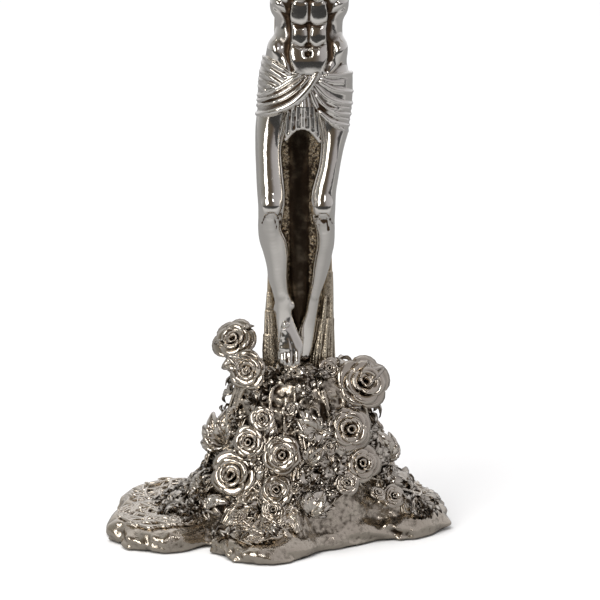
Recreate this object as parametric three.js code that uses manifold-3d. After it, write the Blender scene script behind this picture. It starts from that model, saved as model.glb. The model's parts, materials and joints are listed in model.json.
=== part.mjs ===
// An altar crucifix of silver-plated castings: a cross with flared arms stands on a mound of roses.
// The mound is a hollow casting closed underneath by a plate and felt, and a tie rod pulls the cross
// down into its slot. The figure, its arms, loincloth and crown are separate castings, held by nails
// and by screws from behind. Each bloom and leaf is a small casting pegged or soldered to the mound.
// Millimetres, +Z up, +Y to the back. The origin is on the table, below the middle of the cross.
import * as THREE from "three";
import { mergeVertices } from "three/addons/utils/BufferGeometryUtils.js";
import Module from "manifold-3d";

const wasm = await Module();
wasm.setup();

// ---------------------------------------------------------------- driving dimensions
const gap = 0.3; // between pieces that touch
const feltThickness = 1.5;
const plateThickness = 2;
const slabThickness = 10; // of the lobed rock, above the felt
const rimBulge = 3; // how far the rock's edge is rounded
const hillRadius = 70; // where the mound's skirt runs out into the slab
const hillHeight = 74.5; // above the slab
const hillDepthRatio = 0.85; // the mound is narrower from front to back
const hillBack = 4; // the mound's axis lies behind the cross by this much
const lipWidth = 5; // of bare slab left round the mound's skirt
const wall = 6; // of the mound casting
const socketFloor = 10; // casting left under the slot for the cross
const slotDepth = 11; // how far the cross stands in the mound

const beamThickness = 8;
const beamEdge = 1; // chamfer round the cross
const waistHalf = 11; // half the arms' width at the crossing
const footHalf = 18; // half the width where the cross enters the mound
const tipHalf = 15.5; // half the width at the other three ends
const flare = 1.66; // how late the arms widen
const crossArm = 110; // from the middle to an arm's end
const topArm = 66;

const figureHeight = 236; // of the figure standing upright, which sets its whole scale
const toeDrop = 1.5; // how far the toes hang below the mound's top, in front of it
const palmOut = 93; // from the middle of the cross to each hand's nail

const rodRadius = 2.5;
const rodClearance = 0.3;
const washerRadius = 7;
const washerThickness = 1.2;
const nutAcross = 8;
const nutHeight = 4;
const screwRadius = 1.5;
const screwHeadRadius = 2.9;
const screwLength = 7;
const nailShaft = 0.7;
const nailHead = 1.7;
const rivetRadius = 1.2;
const pegRadius = 1.2; // of the stems that plug the blooms into the mound
const pegLength = 3;

// Lobes of the rock: middle, and half its width and depth.
const lobes = [
  { x: -66, y: -12, rx: 29, ry: 31 },
  { x: -60, y: 25, rx: 32, ry: 32 },
  { x: -16, y: -33, rx: 27, ry: 28 },
  { x: 44, y: 4, rx: 30, ry: 28 },
  { x: 42, y: 28, rx: 31, ry: 32 },
  { x: -8, y: 29, rx: 40, ry: 32 },
  { x: 0, y: 0, rx: 47, ry: 42 },
];

// The mound's side, from its top to its skirt, as shares of its radius and height.
const hillShape = [
  [0, 1], [0.2, 0.99], [0.31, 0.964], [0.385, 0.912], [0.435, 0.838], [0.47, 0.73], [0.52, 0.565],
  [0.57, 0.415], [0.64, 0.258], [0.74, 0.128], [0.87, 0.03], [1, -0.03],
];

// Blooms on the mound: bearing round it in degrees from the front, distance from its axis as a
// share of the hill's radius, outer radius of the bloom, and how far it leans up from the slope.
const blooms = [
  { name: "rose_shoulder_right", bearing: 73, out: 0.43, radius: 10.2, lean: 12 },
  { name: "rose_under_feet", bearing: 38, out: 0.31, radius: 4, lean: -35 },
  { name: "rose_upper_right", bearing: 39, out: 0.515, radius: 7.3, lean: 8 },
  { name: "rose_middle_right", bearing: 43, out: 0.595, radius: 6.4, lean: 0 },
  { name: "rose_low_right", bearing: 29, out: 0.645, radius: 4.5, lean: 5 },
  { name: "rose_skirt_right", bearing: 58, out: 0.755, radius: 4.5, lean: 0 },
  { name: "rose_upper_left", bearing: -30, out: 0.49, radius: 4.9, lean: 0 },
  { name: "rose_middle_left", bearing: -38.5, out: 0.54, radius: 6.2, lean: 0 },
  { name: "rose_heart", bearing: -12, out: 0.56, radius: 7.1, lean: 0 },
  { name: "rose_great_left", bearing: -45, out: 0.63, radius: 9, lean: -4 },
  { name: "rose_low_middle", bearing: -13.5, out: 0.675, radius: 6.1, lean: 22 },
  { name: "rose_skirt_middle", bearing: -13.5, out: 0.765, radius: 4.4, lean: -4 },
  { name: "rosebud_side_left", bearing: -89, out: 0.62, radius: 4, lean: 0 },
  { name: "rose_skirt_left", bearing: -84, out: 0.9, radius: 4.4, lean: -14 },
  { name: "rose_back_high", bearing: 165, out: 0.5, radius: 7, lean: 0 },
  { name: "rose_back_low", bearing: -160, out: 0.62, radius: 6.2, lean: 0 },
];

// The pair of blooms on the mound's left shoulder: seat (height from the mound's top), radius, facing.
const shoulderPair = [
  { name: "rose_crest_left", at: [-31.5, 0, 10], radius: 10, facing: [-0.5, -0.42, 0.76] },
  { name: "rose_shoulder_left", at: [-25.6, -12.5, 1.8], radius: 7.7, facing: [-0.3, -0.9, 0.32] },
];

// Rose leaves that lie on the slope: bearing, distance out, length, width, and turn in the slope.
const leaves = [
  { name: "leaf_fan_left", bearing: -74, out: 0.53, length: 17, width: 12, turn: 20 },
  { name: "leaf_upper_middle", bearing: 6, out: 0.5, length: 12, width: 7, turn: 60 },
  { name: "leaf_heart_right", bearing: 11, out: 0.56, length: 11, width: 6.5, turn: -50 },
  { name: "leaf_side_right", bearing: 76, out: 0.57, length: 13, width: 9, turn: 10 },
  { name: "leaf_low_left", bearing: -72, out: 0.7, length: 13, width: 8, turn: 25 },
  { name: "leaf_low_middle", bearing: 9, out: 0.72, length: 13, width: 7.5, turn: -35 },
  { name: "leaf_skirt_right", bearing: 76, out: 0.72, length: 14, width: 8, turn: 30 },
  { name: "leaf_skirt_left", bearing: -45, out: 0.8, length: 13, width: 7, turn: -60 },
  { name: "leaf_back_left", bearing: -125, out: 0.56, length: 14, width: 9, turn: 15 },
  { name: "leaf_back_right", bearing: 130, out: 0.58, length: 14, width: 9, turn: -15 },
];
const leafThickness = 1.4;

// ---------------------------------------------------------------- worked-out levels
const rockBottom = feltThickness + gap;
const slabTop = rockBottom + slabThickness;
const moundTop = slabTop + hillHeight;
const plateTop = rockBottom + plateThickness;
const slotBottom = moundTop - slotDepth;
const cavityTop = slotBottom - socketFloor;
const beamFront = -beamThickness / 2;
const figureScale = figureHeight / 233;
const toeLevel = moundTop - toeDrop;
const crossing = toeLevel + 262.7 * figureScale; // height of the hands
const crossTop = crossing + topArm;

// ---------------------------------------------------------------- materials
const silver = new THREE.MeshStandardMaterial({ color: 0xc9c4ba, roughness: 0.12, metalness: 1 });
const darkSilver = new THREE.MeshStandardMaterial({ color: 0x8d8474, roughness: 0.25, metalness: 1 });
const matted = new THREE.MeshStandardMaterial({ color: 0x6e6455, roughness: 0.35, metalness: 1 });
const steel = new THREE.MeshStandardMaterial({ color: 0xa8a9ab, roughness: 0.35, metalness: 1 });
const felt = new THREE.MeshStandardMaterial({ color: 0x1d2f25, roughness: 0.95, metalness: 0 });

// ---------------------------------------------------------------- solids
// Turns a closed geometry into a solid, so that it can be cut and joined.
function solid(geometry) {
  const plain = geometry.index ? geometry.toNonIndexed() : geometry.clone();
  plain.deleteAttribute("normal");
  plain.deleteAttribute("uv");
  const merged = mergeVertices(plain, 1e-4);
  return new wasm.Manifold(new wasm.Mesh({
    numProp: 3,
    vertProperties: merged.attributes.position.array,
    triVerts: new Uint32Array(merged.index.array),
  }));
}

function join(solids) {
  return solids.reduce((all, one) => all.add(one));
}

const part = new THREE.Group();

function place(name, shape, material) {
  const mesh = shape.getMesh();
  const geometry = new THREE.BufferGeometry();
  geometry.setAttribute("position", new THREE.BufferAttribute(new Float32Array(mesh.vertProperties), 3));
  geometry.setIndex(new THREE.BufferAttribute(mesh.triVerts, 1));
  geometry.computeVertexNormals();
  const made = new THREE.Mesh(geometry, material);
  made.name = name;
  part.add(made);
}

// A turned shape about +Z from [radius, height] points, bottom axis point to top axis point.
function turned(profile, segments = 24) {
  const points = profile.map(([r, z]) => new THREE.Vector2(r, z));
  return new THREE.LatheGeometry(points, segments).rotateX(Math.PI / 2);
}

// A plain round bar about +Z between two heights.
function bar(radius, low, high, segments = 16) {
  return turned([[0, low], [radius, low], [radius, high], [0, high]], segments);
}

function block(low, high) {
  const size = high.map((h, i) => h - low[i]);
  return new THREE.BoxGeometry(...size).translate(...low.map((l, i) => l + size[i] / 2));
}

// Moves a shape made along +Z so that it stands at a point and looks along a direction.
function stand(geometry, at, facing, turn = 0) {
  const look = new THREE.Vector3(...facing).normalize();
  const aim = new THREE.Quaternion().setFromUnitVectors(new THREE.Vector3(0, 0, 1), look);
  return geometry.rotateZ(THREE.MathUtils.degToRad(turn)).applyQuaternion(aim).translate(...at);
}

// A limb or trunk: elliptical rings along a run of stations [x, y, z, half width, half depth].
function limb(stations, grow = 0, around = 14) {
  const centres = stations.map(([x, y, z]) => new THREE.Vector3(x, y, z));
  const positions = [];
  const rings = stations.map(([, , , halfWidth, halfDepth], i) => {
    const along = centres[Math.min(i + 1, centres.length - 1)].clone()
      .sub(centres[Math.max(i - 1, 0)]).normalize();
    const depth = new THREE.Vector3(0, -1, 0).addScaledVector(along, along.y).normalize();
    const side = new THREE.Vector3().crossVectors(depth, along);
    return Array.from({ length: around }, (_, k) => {
      const angle = (2 * Math.PI * k) / around;
      return centres[i].clone()
        .addScaledVector(side, (halfWidth + grow) * Math.cos(angle))
        .addScaledVector(depth, (halfDepth + grow) * Math.sin(angle));
    });
  });
  const push = (...corners) => corners.forEach((p) => positions.push(p.x, p.y, p.z));
  for (let i = 0; i + 1 < rings.length; i += 1) {
    for (let k = 0; k < around; k += 1) {
      const next = (k + 1) % around;
      push(rings[i][k], rings[i + 1][next], rings[i][next]);
      push(rings[i][k], rings[i + 1][k], rings[i + 1][next]);
    }
  }
  const last = rings.length - 1;
  for (let k = 0; k < around; k += 1) {
    const next = (k + 1) % around;
    push(centres[0], rings[0][k], rings[0][next]);
    push(centres[last], rings[last][next], rings[last][k]);
  }
  const geometry = new THREE.BufferGeometry();
  geometry.setAttribute("position", new THREE.BufferAttribute(new Float32Array(positions), 3));
  const made = solid(geometry);
  return made.volume() > 0 ? made : solid(flipped(geometry));
}

function flipped(geometry) {
  const position = geometry.attributes.position;
  for (let i = 0; i < position.count; i += 3) {
    const b = new THREE.Vector3().fromBufferAttribute(position, i + 1);
    const c = new THREE.Vector3().fromBufferAttribute(position, i + 2);
    position.setXYZ(i + 1, c.x, c.y, c.z);
    position.setXYZ(i + 2, b.x, b.y, b.z);
  }
  return geometry;
}

function egg(centre, radii, tiltY = 0, around = 12) {
  return solid(new THREE.SphereGeometry(1, around, around / 2 + 3).scale(...radii)
    .rotateY(THREE.MathUtils.degToRad(tiltY)).translate(...centre));
}

// ---------------------------------------------------------------- rock base
// The lobed outline between two heights, grown or shrunk by an inset, with a rounded rim on request.
function lobed(inset, low, high, bulge = 0) {
  return join(lobes.map(({ x, y, rx, ry }) => {
    const mid = (low + high) / 2;
    const profile = bulge
      ? [[0, low], [1 - bulge / rx / 2, low], [1, mid - 1], [1 - bulge / rx / 3, high - bulge / 2],
        [1 - bulge / rx * 1.4, high], [0, high + 0.6]]
      : [[0, low], [1, low], [1, high], [0, high]];
    return solid(turned(profile, 24).scale(rx - inset, ry - inset, 1).translate(x, y, 0));
  }));
}

function hillLevel(share) {
  const next = hillShape.findIndex(([r]) => r >= share);
  const [r1, z1] = hillShape[Math.max(next, 1)];
  const [r0, z0] = hillShape[Math.max(next, 1) - 1];
  return slabTop + hillHeight * (z0 + ((share - r0) / (r1 - r0)) * (z1 - z0));
}

// A point on the mound, and the outward direction there, leant up from the slope on request.
function onHill(bearing, out, lean = 0) {
  const turn = THREE.MathUtils.degToRad(bearing);
  const rise = (hillLevel(out + 0.02) - hillLevel(out - 0.02)) / (0.04 * hillRadius);
  const outward = new THREE.Vector3(Math.sin(turn), -Math.cos(turn) / hillDepthRatio, 0).normalize();
  const tilt = Math.atan2(1, -rise) + THREE.MathUtils.degToRad(lean);
  const facing = outward.multiplyScalar(Math.cos(tilt)).add(new THREE.Vector3(0, 0, Math.sin(tilt)));
  const r = out * hillRadius;
  const at = [r * Math.sin(turn), hillBack - r * hillDepthRatio * Math.cos(turn), hillLevel(out)];
  return { at, facing: facing.toArray() };
}

function hill(inset, top, bottom) {
  const profile = hillShape
    .map(([r, z]) => [Math.max(r * hillRadius - inset, 0), Math.min(slabTop + z * hillHeight, top)])
    .filter(([r, z], i, all) => i === 0 || r > all[i - 1][0] + 0.01 || z < all[i - 1][1] - 0.01);
  const closed = [[0, bottom], [profile[profile.length - 1][0], bottom], ...profile.reverse()];
  if (closed[closed.length - 1][0] > 0) closed.push([0, closed[closed.length - 1][1]]);
  return solid(turned(closed, 32).scale(1, hillDepthRatio, 1).translate(0, hillBack, 0));
}

// Half the upright's width at a height: a narrow waist at the crossing, flaring towards the ends.
function flareHalf(share, end) {
  return waistHalf + (end - waistHalf) * share ** flare;
}

// ---------------------------------------------------------------- blooms and leaves
// A bloom: a peg, a calyx, a cup of petals and the tight bud standing in it.
function bloomProfile(radius, grow) {
  const r = radius;
  const outer = [
    [0, -pegLength - grow], [pegRadius + grow, -pegLength - grow], [pegRadius + grow, -grow],
    [0.3 * r + grow, -grow], [0.8 * r + grow, 0.26 * r - grow], [r + grow, 0.72 * r + grow],
  ];
  const inner = grow
    ? [[0, 1.2 * r]]
    : [[0.8 * r, 0.74 * r], [0.5 * r, 0.42 * r], [0.42 * r, 0.72 * r], [0, 0.9 * r]];
  return [...outer, ...inner];
}

function bloom({ at, facing, radius }, grow = 0) {
  return solid(stand(turned(bloomProfile(radius, grow), 9), at, facing));
}

// A leaf: a pointed oval, laid on the slope with its tip along a turn from the fall of the slope.
function leaf({ at, facing, length, width, turn }, grow = 0) {
  const outline = new THREE.Shape();
  outline.moveTo(0, -length / 2 - grow);
  outline.quadraticCurveTo(width * 0.62 + grow, -length * 0.3, width / 2 + grow, length * 0.05);
  outline.quadraticCurveTo(width * 0.3 + grow, length * 0.38, 0, length / 2 + grow);
  outline.quadraticCurveTo(-width * 0.3 - grow, length * 0.38, -width / 2 - grow, length * 0.05);
  outline.quadraticCurveTo(-width * 0.62 - grow, -length * 0.3, 0, -length / 2 - grow);
  const plate = new THREE.ExtrudeGeometry(outline, {
    depth: leafThickness + (grow ? 6 : 0), bevelEnabled: false, curveSegments: 4,
  });
  return solid(stand(plate.translate(0, 0, -grow), at, facing, turn));
}

// A little outside the surface, so that the piece's back lies on it with the usual gap.
function lifted({ at, facing }, by) {
  return at.map((value, i) => value + facing[i] * by);
}

const bloomSeats = blooms.map((b) => {
  const seat = onHill(b.bearing, b.out, b.lean);
  return { ...b, facing: seat.facing, at: lifted(seat, 0.8) };
});
const crestSeats = shoulderPair.map(({ at: [x, y, z], facing, ...rest }) => ({
  ...rest, at: [x, y, moundTop + z], facing: new THREE.Vector3(...facing).normalize().toArray(),
}));
const allBlooms = [...bloomSeats, ...crestSeats];
const leafSeats = leaves.map((l) => {
  const seat = onHill(l.bearing, l.out);
  return { ...l, facing: seat.facing, at: lifted(seat, 0.6) };
});

// ---------------------------------------------------------------- figure
// The figure's own places are from the beam's face (y, negative to the front) and the toes (z).
function figure(stations) {
  return stations.map(([x, y, z, halfWidth, halfDepth]) => [
    x * figureScale, beamFront + y * figureScale, toeLevel + z * figureScale,
    halfWidth * figureScale, halfDepth * figureScale,
  ]);
}
const figurePoint = (x, y, z) => figure([[x, y, z, 0, 0]])[0].slice(0, 3);

const trunk = [
  [1.8, -12, 112, 13, 8], [2.4, -12.6, 120, 19.5, 11], [2.7, -13, 131, 21.6, 12], [2.9, -13, 144, 21, 11.6],
  [3.4, -12.4, 154, 18.6, 10.8], [4.2, -12, 165, 16.4, 10], [4.6, -12.8, 176, 17.4, 11.2],
  [4.2, -13.6, 188, 20.2, 12.4], [3.2, -13.4, 198, 22.2, 12], [2.4, -12.8, 206, 20, 10],
  [1.5, -13, 211, 12, 8.5], [0.4, -14.5, 216, 6.8, 6.6], [-2.2, -17.5, 224, 6, 6.2],
];
const legOver = [
  [-9.5, -13, 126, 9.5, 8.5], [-13.6, -15.5, 114, 7.6, 8.2], [-14.6, -18.5, 98, 6.9, 7.6], [-14.2, -21.5, 86, 6.7, 7],
  [-13.6, -22.5, 77, 6.2, 6.2], [-13.8, -20.5, 69, 5.8, 5.8], [-12.9, -17, 60, 6.8, 6.4], [-11.6, -14.8, 52, 6, 5.8],
  [-10.5, -13.4, 43, 4.8, 4.8], [-8.8, -12.3, 34, 4, 4.3], [-7.2, -11.6, 27, 4.6, 4.8], [-6.6, -11.6, 20, 5, 4.6],
  [-5.6, -12.4, 12, 6.1, 3.4], [-5, -13.6, 5, 5.8, 2.4], [-5, -14.2, 0.6, 4.4, 1.6],
];
const legUnder = [
  [12, -13, 126, 9.5, 8.5], [16, -15.5, 114, 7.4, 8.2], [13.4, -18.5, 98, 6.6, 7.6], [11.4, -21, 86, 6.5, 7],
  [10.9, -21.6, 77, 6, 6.2], [11.8, -19.6, 69, 5.3, 5.8], [12, -16, 60, 5, 6.4], [11.2, -13, 52, 4.4, 5.8],
  [9.6, -10.6, 43, 4, 4.8], [7.6, -8, 34, 3.5, 4.2], [5.8, -6.4, 27, 3.6, 4], [4.4, -5.6, 18, 4, 3.4],
  [2.6, -5.6, 10, 4.4, 2.6], [1.6, -6, 4, 3.8, 1.8],
];
const trunkMiddle = 2.6;
const shoulderOut = 19; // from the trunk's middle to each shoulder joint
const shoulderHeight = 204;
const headCentre = figurePoint(-4.6, -21.5, 230);
const headRadii = [10.4, 12, 13.6].map((r) => r * figureScale);

function body(grow) {
  const shoulders = [-1, 1].map((side) => egg(
    figurePoint(trunkMiddle + side * (shoulderOut - 1), -12.6, shoulderHeight),
    [8.6, 8, 8.2].map((r) => r * figureScale + grow),
  ));
  const beard = egg(figurePoint(-6.2, -26.6, 219), [6, 5.6, 7].map((r) => r * figureScale + grow));
  const hair = egg(figurePoint(-4.6, -15.5, 221), [11.4, 8, 13].map((r) => r * figureScale + grow));
  const nose = egg(figurePoint(-6.4, -33.4, 228.6), [1.8, 2.6, 3.6].map((r) => r * figureScale + grow));
  return join([
    limb(figure(trunk), grow, 16), limb(figure(legOver), grow, 12), limb(figure(legUnder), grow, 12),
    egg(headCentre, headRadii.map((r) => r + grow), -9, 16), ...shoulders, beard, hair, nose,
  ]);
}

// An arm on the side -1 (the viewer's left) or 1: where it starts, where its nail is, and its run.
function armLine(side) {
  const root = new THREE.Vector3(...figurePoint(trunkMiddle + side * shoulderOut, -12.6, shoulderHeight));
  const palm = new THREE.Vector3(side * palmOut, beamFront - gap - 2.4, crossing);
  return { root, palm, facing: palm.clone().sub(root).normalize() };
}

function arm(side) {
  const { root, palm } = armLine(side);
  const run = [
    [-0.08, 0, 7.4, 7], [0.04, 0.8, 8, 7.4], [0.15, 0.8, 6.8, 6.4], [0.28, 0, 5.6, 5.8], [0.42, -0.8, 5, 5.2],
    [0.5, -1, 4.4, 4.4], [0.58, -0.6, 4.9, 4.6], [0.7, -0.2, 4.4, 3.8], [0.85, 0, 2.9, 2.5],
    [0.93, 0, 3.5, 2.3], [1, 0, 4.8, 2.3], [1.06, 0, 4.8, 2.5], [1.12, -0.4, 4, 3.6], [1.14, -0.8, 2.4, 2.4],
  ];
  return limb(run.map(([share, bow, halfWidth, halfDepth]) => {
    const at = root.clone().lerp(palm, share);
    const forward = share > 1.1 ? 1.6 : 0;
    return [at.x, at.y - forward, at.z + bow, halfWidth * figureScale, halfDepth * figureScale];
  }), 0, 12);
}

// ---------------------------------------------------------------- base pieces
const screwPlaces = [[-62, 4], [46, 10], [-10, -46], [-8, 48]];
const screwBottom = rockBottom + 0.4;

function screwAt([x, y], grow) {
  const top = screwBottom + screwLength;
  const profile = [
    [0, screwBottom - grow * 4], [screwHeadRadius + grow, screwBottom - grow * 4],
    [screwHeadRadius + grow, screwBottom + 0.3], [screwRadius + grow, screwBottom + 1.8],
    [screwRadius + grow, top + grow], [0, top + grow],
  ];
  return solid(turned(profile, 16).translate(x, y, 0));
}

const feltPad = lobed(2.4, 0, feltThickness);
place("felt_pad", feltPad, felt);

const plate = screwPlaces.reduce(
  (left, at) => left.subtract(screwAt(at, gap)),
  lobed(4 + gap, rockBottom, plateTop),
);
place("base_plate", plate, steel);
screwPlaces.forEach((at, i) => place(`base_plate_screw_${i + 1}`, screwAt(at, 0), steel));

const slotHalf = footHalf + gap;
const slot = solid(block(
  [-slotHalf, beamFront - gap, slotBottom],
  [slotHalf, -beamFront + gap, moundTop + 10],
));
const rodHole = solid(bar(rodRadius + rodClearance, cavityTop - 5, slotBottom + 1));
const clearances = [
  ...allBlooms.map((b) => bloom(b, gap + 0.05)),
  ...leafSeats.map((l) => leaf(l, gap + 0.05)),
];
// The tuft that carries the crest pair out of the mound's left shoulder.
const tuft = limb([
  [-16, 6, moundTop - 34, 15, 12], [-22, 3, moundTop - 16, 12, 10], [-26, 0.6, moundTop - 4, 8.5, 8],
  [-29.5, 0.4, moundTop + 6, 5.5, 5.5], [-31, 0.2, moundTop + 9, 3, 3],
], 0, 10);
const mound = hill(0, moundTop, slabTop - 4).intersect(lobed(lipWidth, slabTop - 5, moundTop + 5));
const cavity = hill(wall, cavityTop, plateTop).intersect(lobed(lipWidth + wall, plateTop, moundTop));
let rock = join([lobed(0, rockBottom, slabTop, rimBulge), mound, tuft])
  .subtract(lobed(4, rockBottom - 1, plateTop + gap))
  .subtract(cavity)
  .subtract(slot)
  .subtract(rodHole);
screwPlaces.forEach((at) => {
  rock = rock.subtract(screwAt(at, gap));
});
clearances.forEach((shape) => {
  rock = rock.subtract(shape);
});
const rockBody = rock.simplify(0.08).decompose().sort((a, b) => b.volume() - a.volume())[0];
place("rock_base", rockBody, darkSilver);

// ---------------------------------------------------------------- tie rod
const rodTop = slotBottom + 13;
place("tie_rod", solid(bar(rodRadius, cavityTop - 11, rodTop)), steel);
const washerBottom = cavityTop - gap - washerThickness;
place("tie_rod_washer", solid(bar(washerRadius, washerBottom, washerBottom + washerThickness, 24))
  .subtract(solid(bar(rodRadius + gap, washerBottom - 1, cavityTop + 1))), steel);
const nutTop = washerBottom - gap;
place("tie_rod_nut", solid(bar(nutAcross / Math.sqrt(3), nutTop - nutHeight, nutTop, 6))
  .subtract(solid(bar(rodRadius + gap, nutTop - nutHeight - 1, nutTop + 1))), steel);

// ---------------------------------------------------------------- cross
// The outline of two opposite arms about the crossing: [distance, half width] up one side.
function armOutline(near, far, nearEnd, farEnd) {
  const steps = 8;
  const side = [];
  for (let i = -steps; i <= steps; i += 1) {
    const share = Math.abs(i) / steps;
    side.push(i < 0 ? [-near * share, flareHalf(share, nearEnd)] : [far * share, flareHalf(share, farEnd)]);
  }
  return side;
}

// A flat beam from its outline, chamfered all round, standing along +Z with its face to the front.
function beam(side) {
  const shape = new THREE.Shape([
    ...side.map(([z, half]) => new THREE.Vector2(half, z)),
    ...side.slice().reverse().map(([z, half]) => new THREE.Vector2(-half, z)),
  ]);
  return new THREE.ExtrudeGeometry(shape, {
    depth: beamThickness - 2 * beamEdge, bevelThickness: beamEdge, bevelSize: beamEdge,
    bevelOffset: -beamEdge, bevelSegments: 1,
  }).translate(0, 0, -beamThickness / 2 + beamEdge).rotateX(Math.PI / 2);
}

const uprightFoot = slotBottom + gap;
const uprightBeam = solid(beam(armOutline(crossing - uprightFoot, topArm, footHalf, tipHalf))
  .translate(0, 0, crossing));
const crossBeam = solid(beam(armOutline(crossArm, crossArm, tipHalf, tipHalf))
  .rotateY(Math.PI / 2).translate(0, 0, crossing));

const lap = waistHalf + gap;
const lapFront = solid(block([-30, -9, crossing - lap], [30, gap / 2, crossing + lap]));
const lapBack = solid(block([-lap, -gap / 2, crossing - 30], [lap, 9, crossing + 30]));

// Nails: where each goes in and how far its head stands off the beam.
const footNail = figurePoint(-6.9, 0, 21.5);
const nails = [
  { name: "nail_right_hand", x: -palmOut, z: crossing, face: beamFront - gap - 4.6 * figureScale },
  { name: "nail_left_hand", x: palmOut, z: crossing, face: beamFront - gap - 4.6 * figureScale },
  { name: "nail_feet", x: footNail[0], z: footNail[2], face: beamFront - 16.5 * figureScale },
];
const nailDepth = 5; // how far a nail goes into the beam
function nail({ x, z, face }, grow = 0) {
  const length = beamFront + nailDepth - face;
  const profile = [
    [0, -length - grow], [nailShaft + grow, -length - grow], [nailShaft + grow, 0],
    [nailHead + grow, 0], [nailHead + grow, 0.5], [nailHead * 0.6, 1.4 + grow], [0, 1.7 + grow],
  ];
  return solid(stand(turned(profile, 12), [x, face, z], [0, -1, 0]));
}

// Screws that come through the beam from behind into the figure's back.
const backScrews = [
  { name: "figure_screw_upper", z: figurePoint(0, 0, 186)[2] },
  { name: "figure_screw_lower", z: figurePoint(0, 0, 134)[2] },
];
function backScrew({ z }, grow = 0) {
  const back = -beamFront;
  const reach = beamThickness + 6;
  const profile = [
    [0, -reach - grow], [screwRadius + grow, -reach - grow], [screwRadius + grow, -2],
    [screwHeadRadius + grow, -0.6], [screwHeadRadius + grow, grow * 3], [0, grow * 3],
  ];
  return solid(stand(turned(profile, 16), [trunkMiddle, back, z], [0, 1, 0]));
}

const rivets = [
  { name: "crossing_rivet_left", x: -6.5 },
  { name: "crossing_rivet_right", x: 6.5 },
];
function rivet({ x }, grow = 0) {
  const half = beamThickness / 2;
  const profile = [
    [0, -half - grow], [rivetRadius + grow, -half - grow], [rivetRadius + grow, half + grow],
    [2.2, half + gap], [1.6, half + gap + 0.9], [0, half + gap + 1.1],
  ];
  const plain = [[0, -half - 1], [rivetRadius + grow, -half - 1], [rivetRadius + grow, half + 1], [0, half + 1]];
  return solid(stand(turned(grow ? plain : profile, 12), [x, 0, crossing], [0, 1, 0]));
}

const scrollCentre = crossTop - 28;
const scrollHalf = 13.5;
const scrollPins = [
  { name: "scroll_pin_left", x: -9.5 },
  { name: "scroll_pin_right", x: 9.5 },
];
const scrollFront = beamFront - gap - 1.4;
function scrollPin({ x }, grow = 0) {
  const profile = [
    [0, -5 - grow], [nailShaft + grow, -5 - grow], [nailShaft + grow, grow ? 0.9 : gap],
    [1.3, grow ? 0.9 : gap], [0.9, 0.9 + gap], [0, 1.1 + gap],
  ];
  return solid(stand(turned(profile, 10), [x, scrollFront, scrollCentre], [0, -1, 0]));
}

const drillings = [
  ...nails.map((n) => nail(n, gap)),
  ...backScrews.map((s) => backScrew(s, gap)),
  ...scrollPins.map((p) => scrollPin(p, gap)),
  ...rivets.map((r) => rivet(r, gap)),
];
const drilled = (shape) => drillings.reduce((left, drilling) => left.subtract(drilling), shape);

place("cross_upright", drilled(uprightBeam.subtract(lapFront))
  .subtract(solid(bar(rodRadius + rodClearance, uprightFoot - 1, rodTop + 1))), matted);
place("crossbeam", drilled(crossBeam.subtract(lapBack)), matted);
rivets.forEach((r) => place(r.name, rivet(r), darkSilver));
backScrews.forEach((s) => place(s.name, backScrew(s), steel));

// ---------------------------------------------------------------- wedges at the foot of the cross
// Rough wedges that hold the cross upright in the mound, on either side of the feet.
function wedge(points, front) {
  const shape = new THREE.Shape(points.map(([x, z]) => new THREE.Vector2(x, z)));
  return solid(new THREE.ExtrudeGeometry(shape, { depth: front, bevelEnabled: false })
    .rotateX(Math.PI / 2).translate(0, beamFront - gap, moundTop));
}
const bodyClear = body(gap);
const keepOff = (shape) => shape.subtract(bodyClear);
place("foot_wedge_left", keepOff(wedge([[-17.4, 0.6], [-11, 0.6], [-12.6, 25], [-16.4, 26]], 3.4)), matted);
place("foot_wedge_right", keepOff(wedge([[5.4, 0.6], [17.4, 0.6], [16, 31], [12, 32]], 4.2)), matted);

// ---------------------------------------------------------------- corpus
const crownAt = [headCentre[0] + 0.6, headCentre[1] + 0.4, headCentre[2] + 5 * figureScale];
function crown(grow) {
  const ring = new THREE.TorusGeometry(10.9 * figureScale, 1.5 + grow, 8, 22);
  return solid(ring.scale(1, 1.14, 1).rotateX(THREE.MathUtils.degToRad(12))
    .rotateY(THREE.MathUtils.degToRad(-9)).translate(...crownAt));
}

// Each arm is a separate casting, pegged on at the shoulder where a plane crosses the limb.
const shoulders = [-1, 1].map((side) => {
  const { root, facing } = armLine(side);
  const lookAway = facing.clone().negate().toArray();
  const half = (from, look) => solid(stand(block([-13, -13, 0], [13, 13, 150]), from, look));
  const beyond = half(root.clone().addScaledVector(facing, 4).toArray(), facing.toArray());
  const before = half(root.clone().addScaledVector(facing, 4 + gap).toArray(), lookAway);
  const peg = (grow) => solid(stand(
    bar(2 + grow, -1.5 - grow, 10, 12), root.toArray(), facing.toArray(),
  ));
  return { side, beyond, before, peg };
});

let corpus = body(0).subtract(crown(gap));
shoulders.forEach(({ beyond, peg }) => {
  corpus = corpus.subtract(beyond).subtract(peg(gap));
});
corpus = corpus.subtract(solid(block([-99, beamFront - gap, 0], [99, 50, crossTop + 50])));
corpus = drilled(corpus).simplify(0.06).decompose().sort((a, b) => b.volume() - a.volume())[0];
place("corpus_body", corpus, silver);

shoulders.forEach(({ side, before, peg }) => {
  const shape = drilled(arm(side).subtract(before).add(peg(0)))
    .subtract(solid(block([-200, beamFront - gap, 0], [200, 50, crossTop + 50])));
  place(side < 0 ? "corpus_right_arm" : "corpus_left_arm", shape.simplify(0.03), silver);
});

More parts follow.
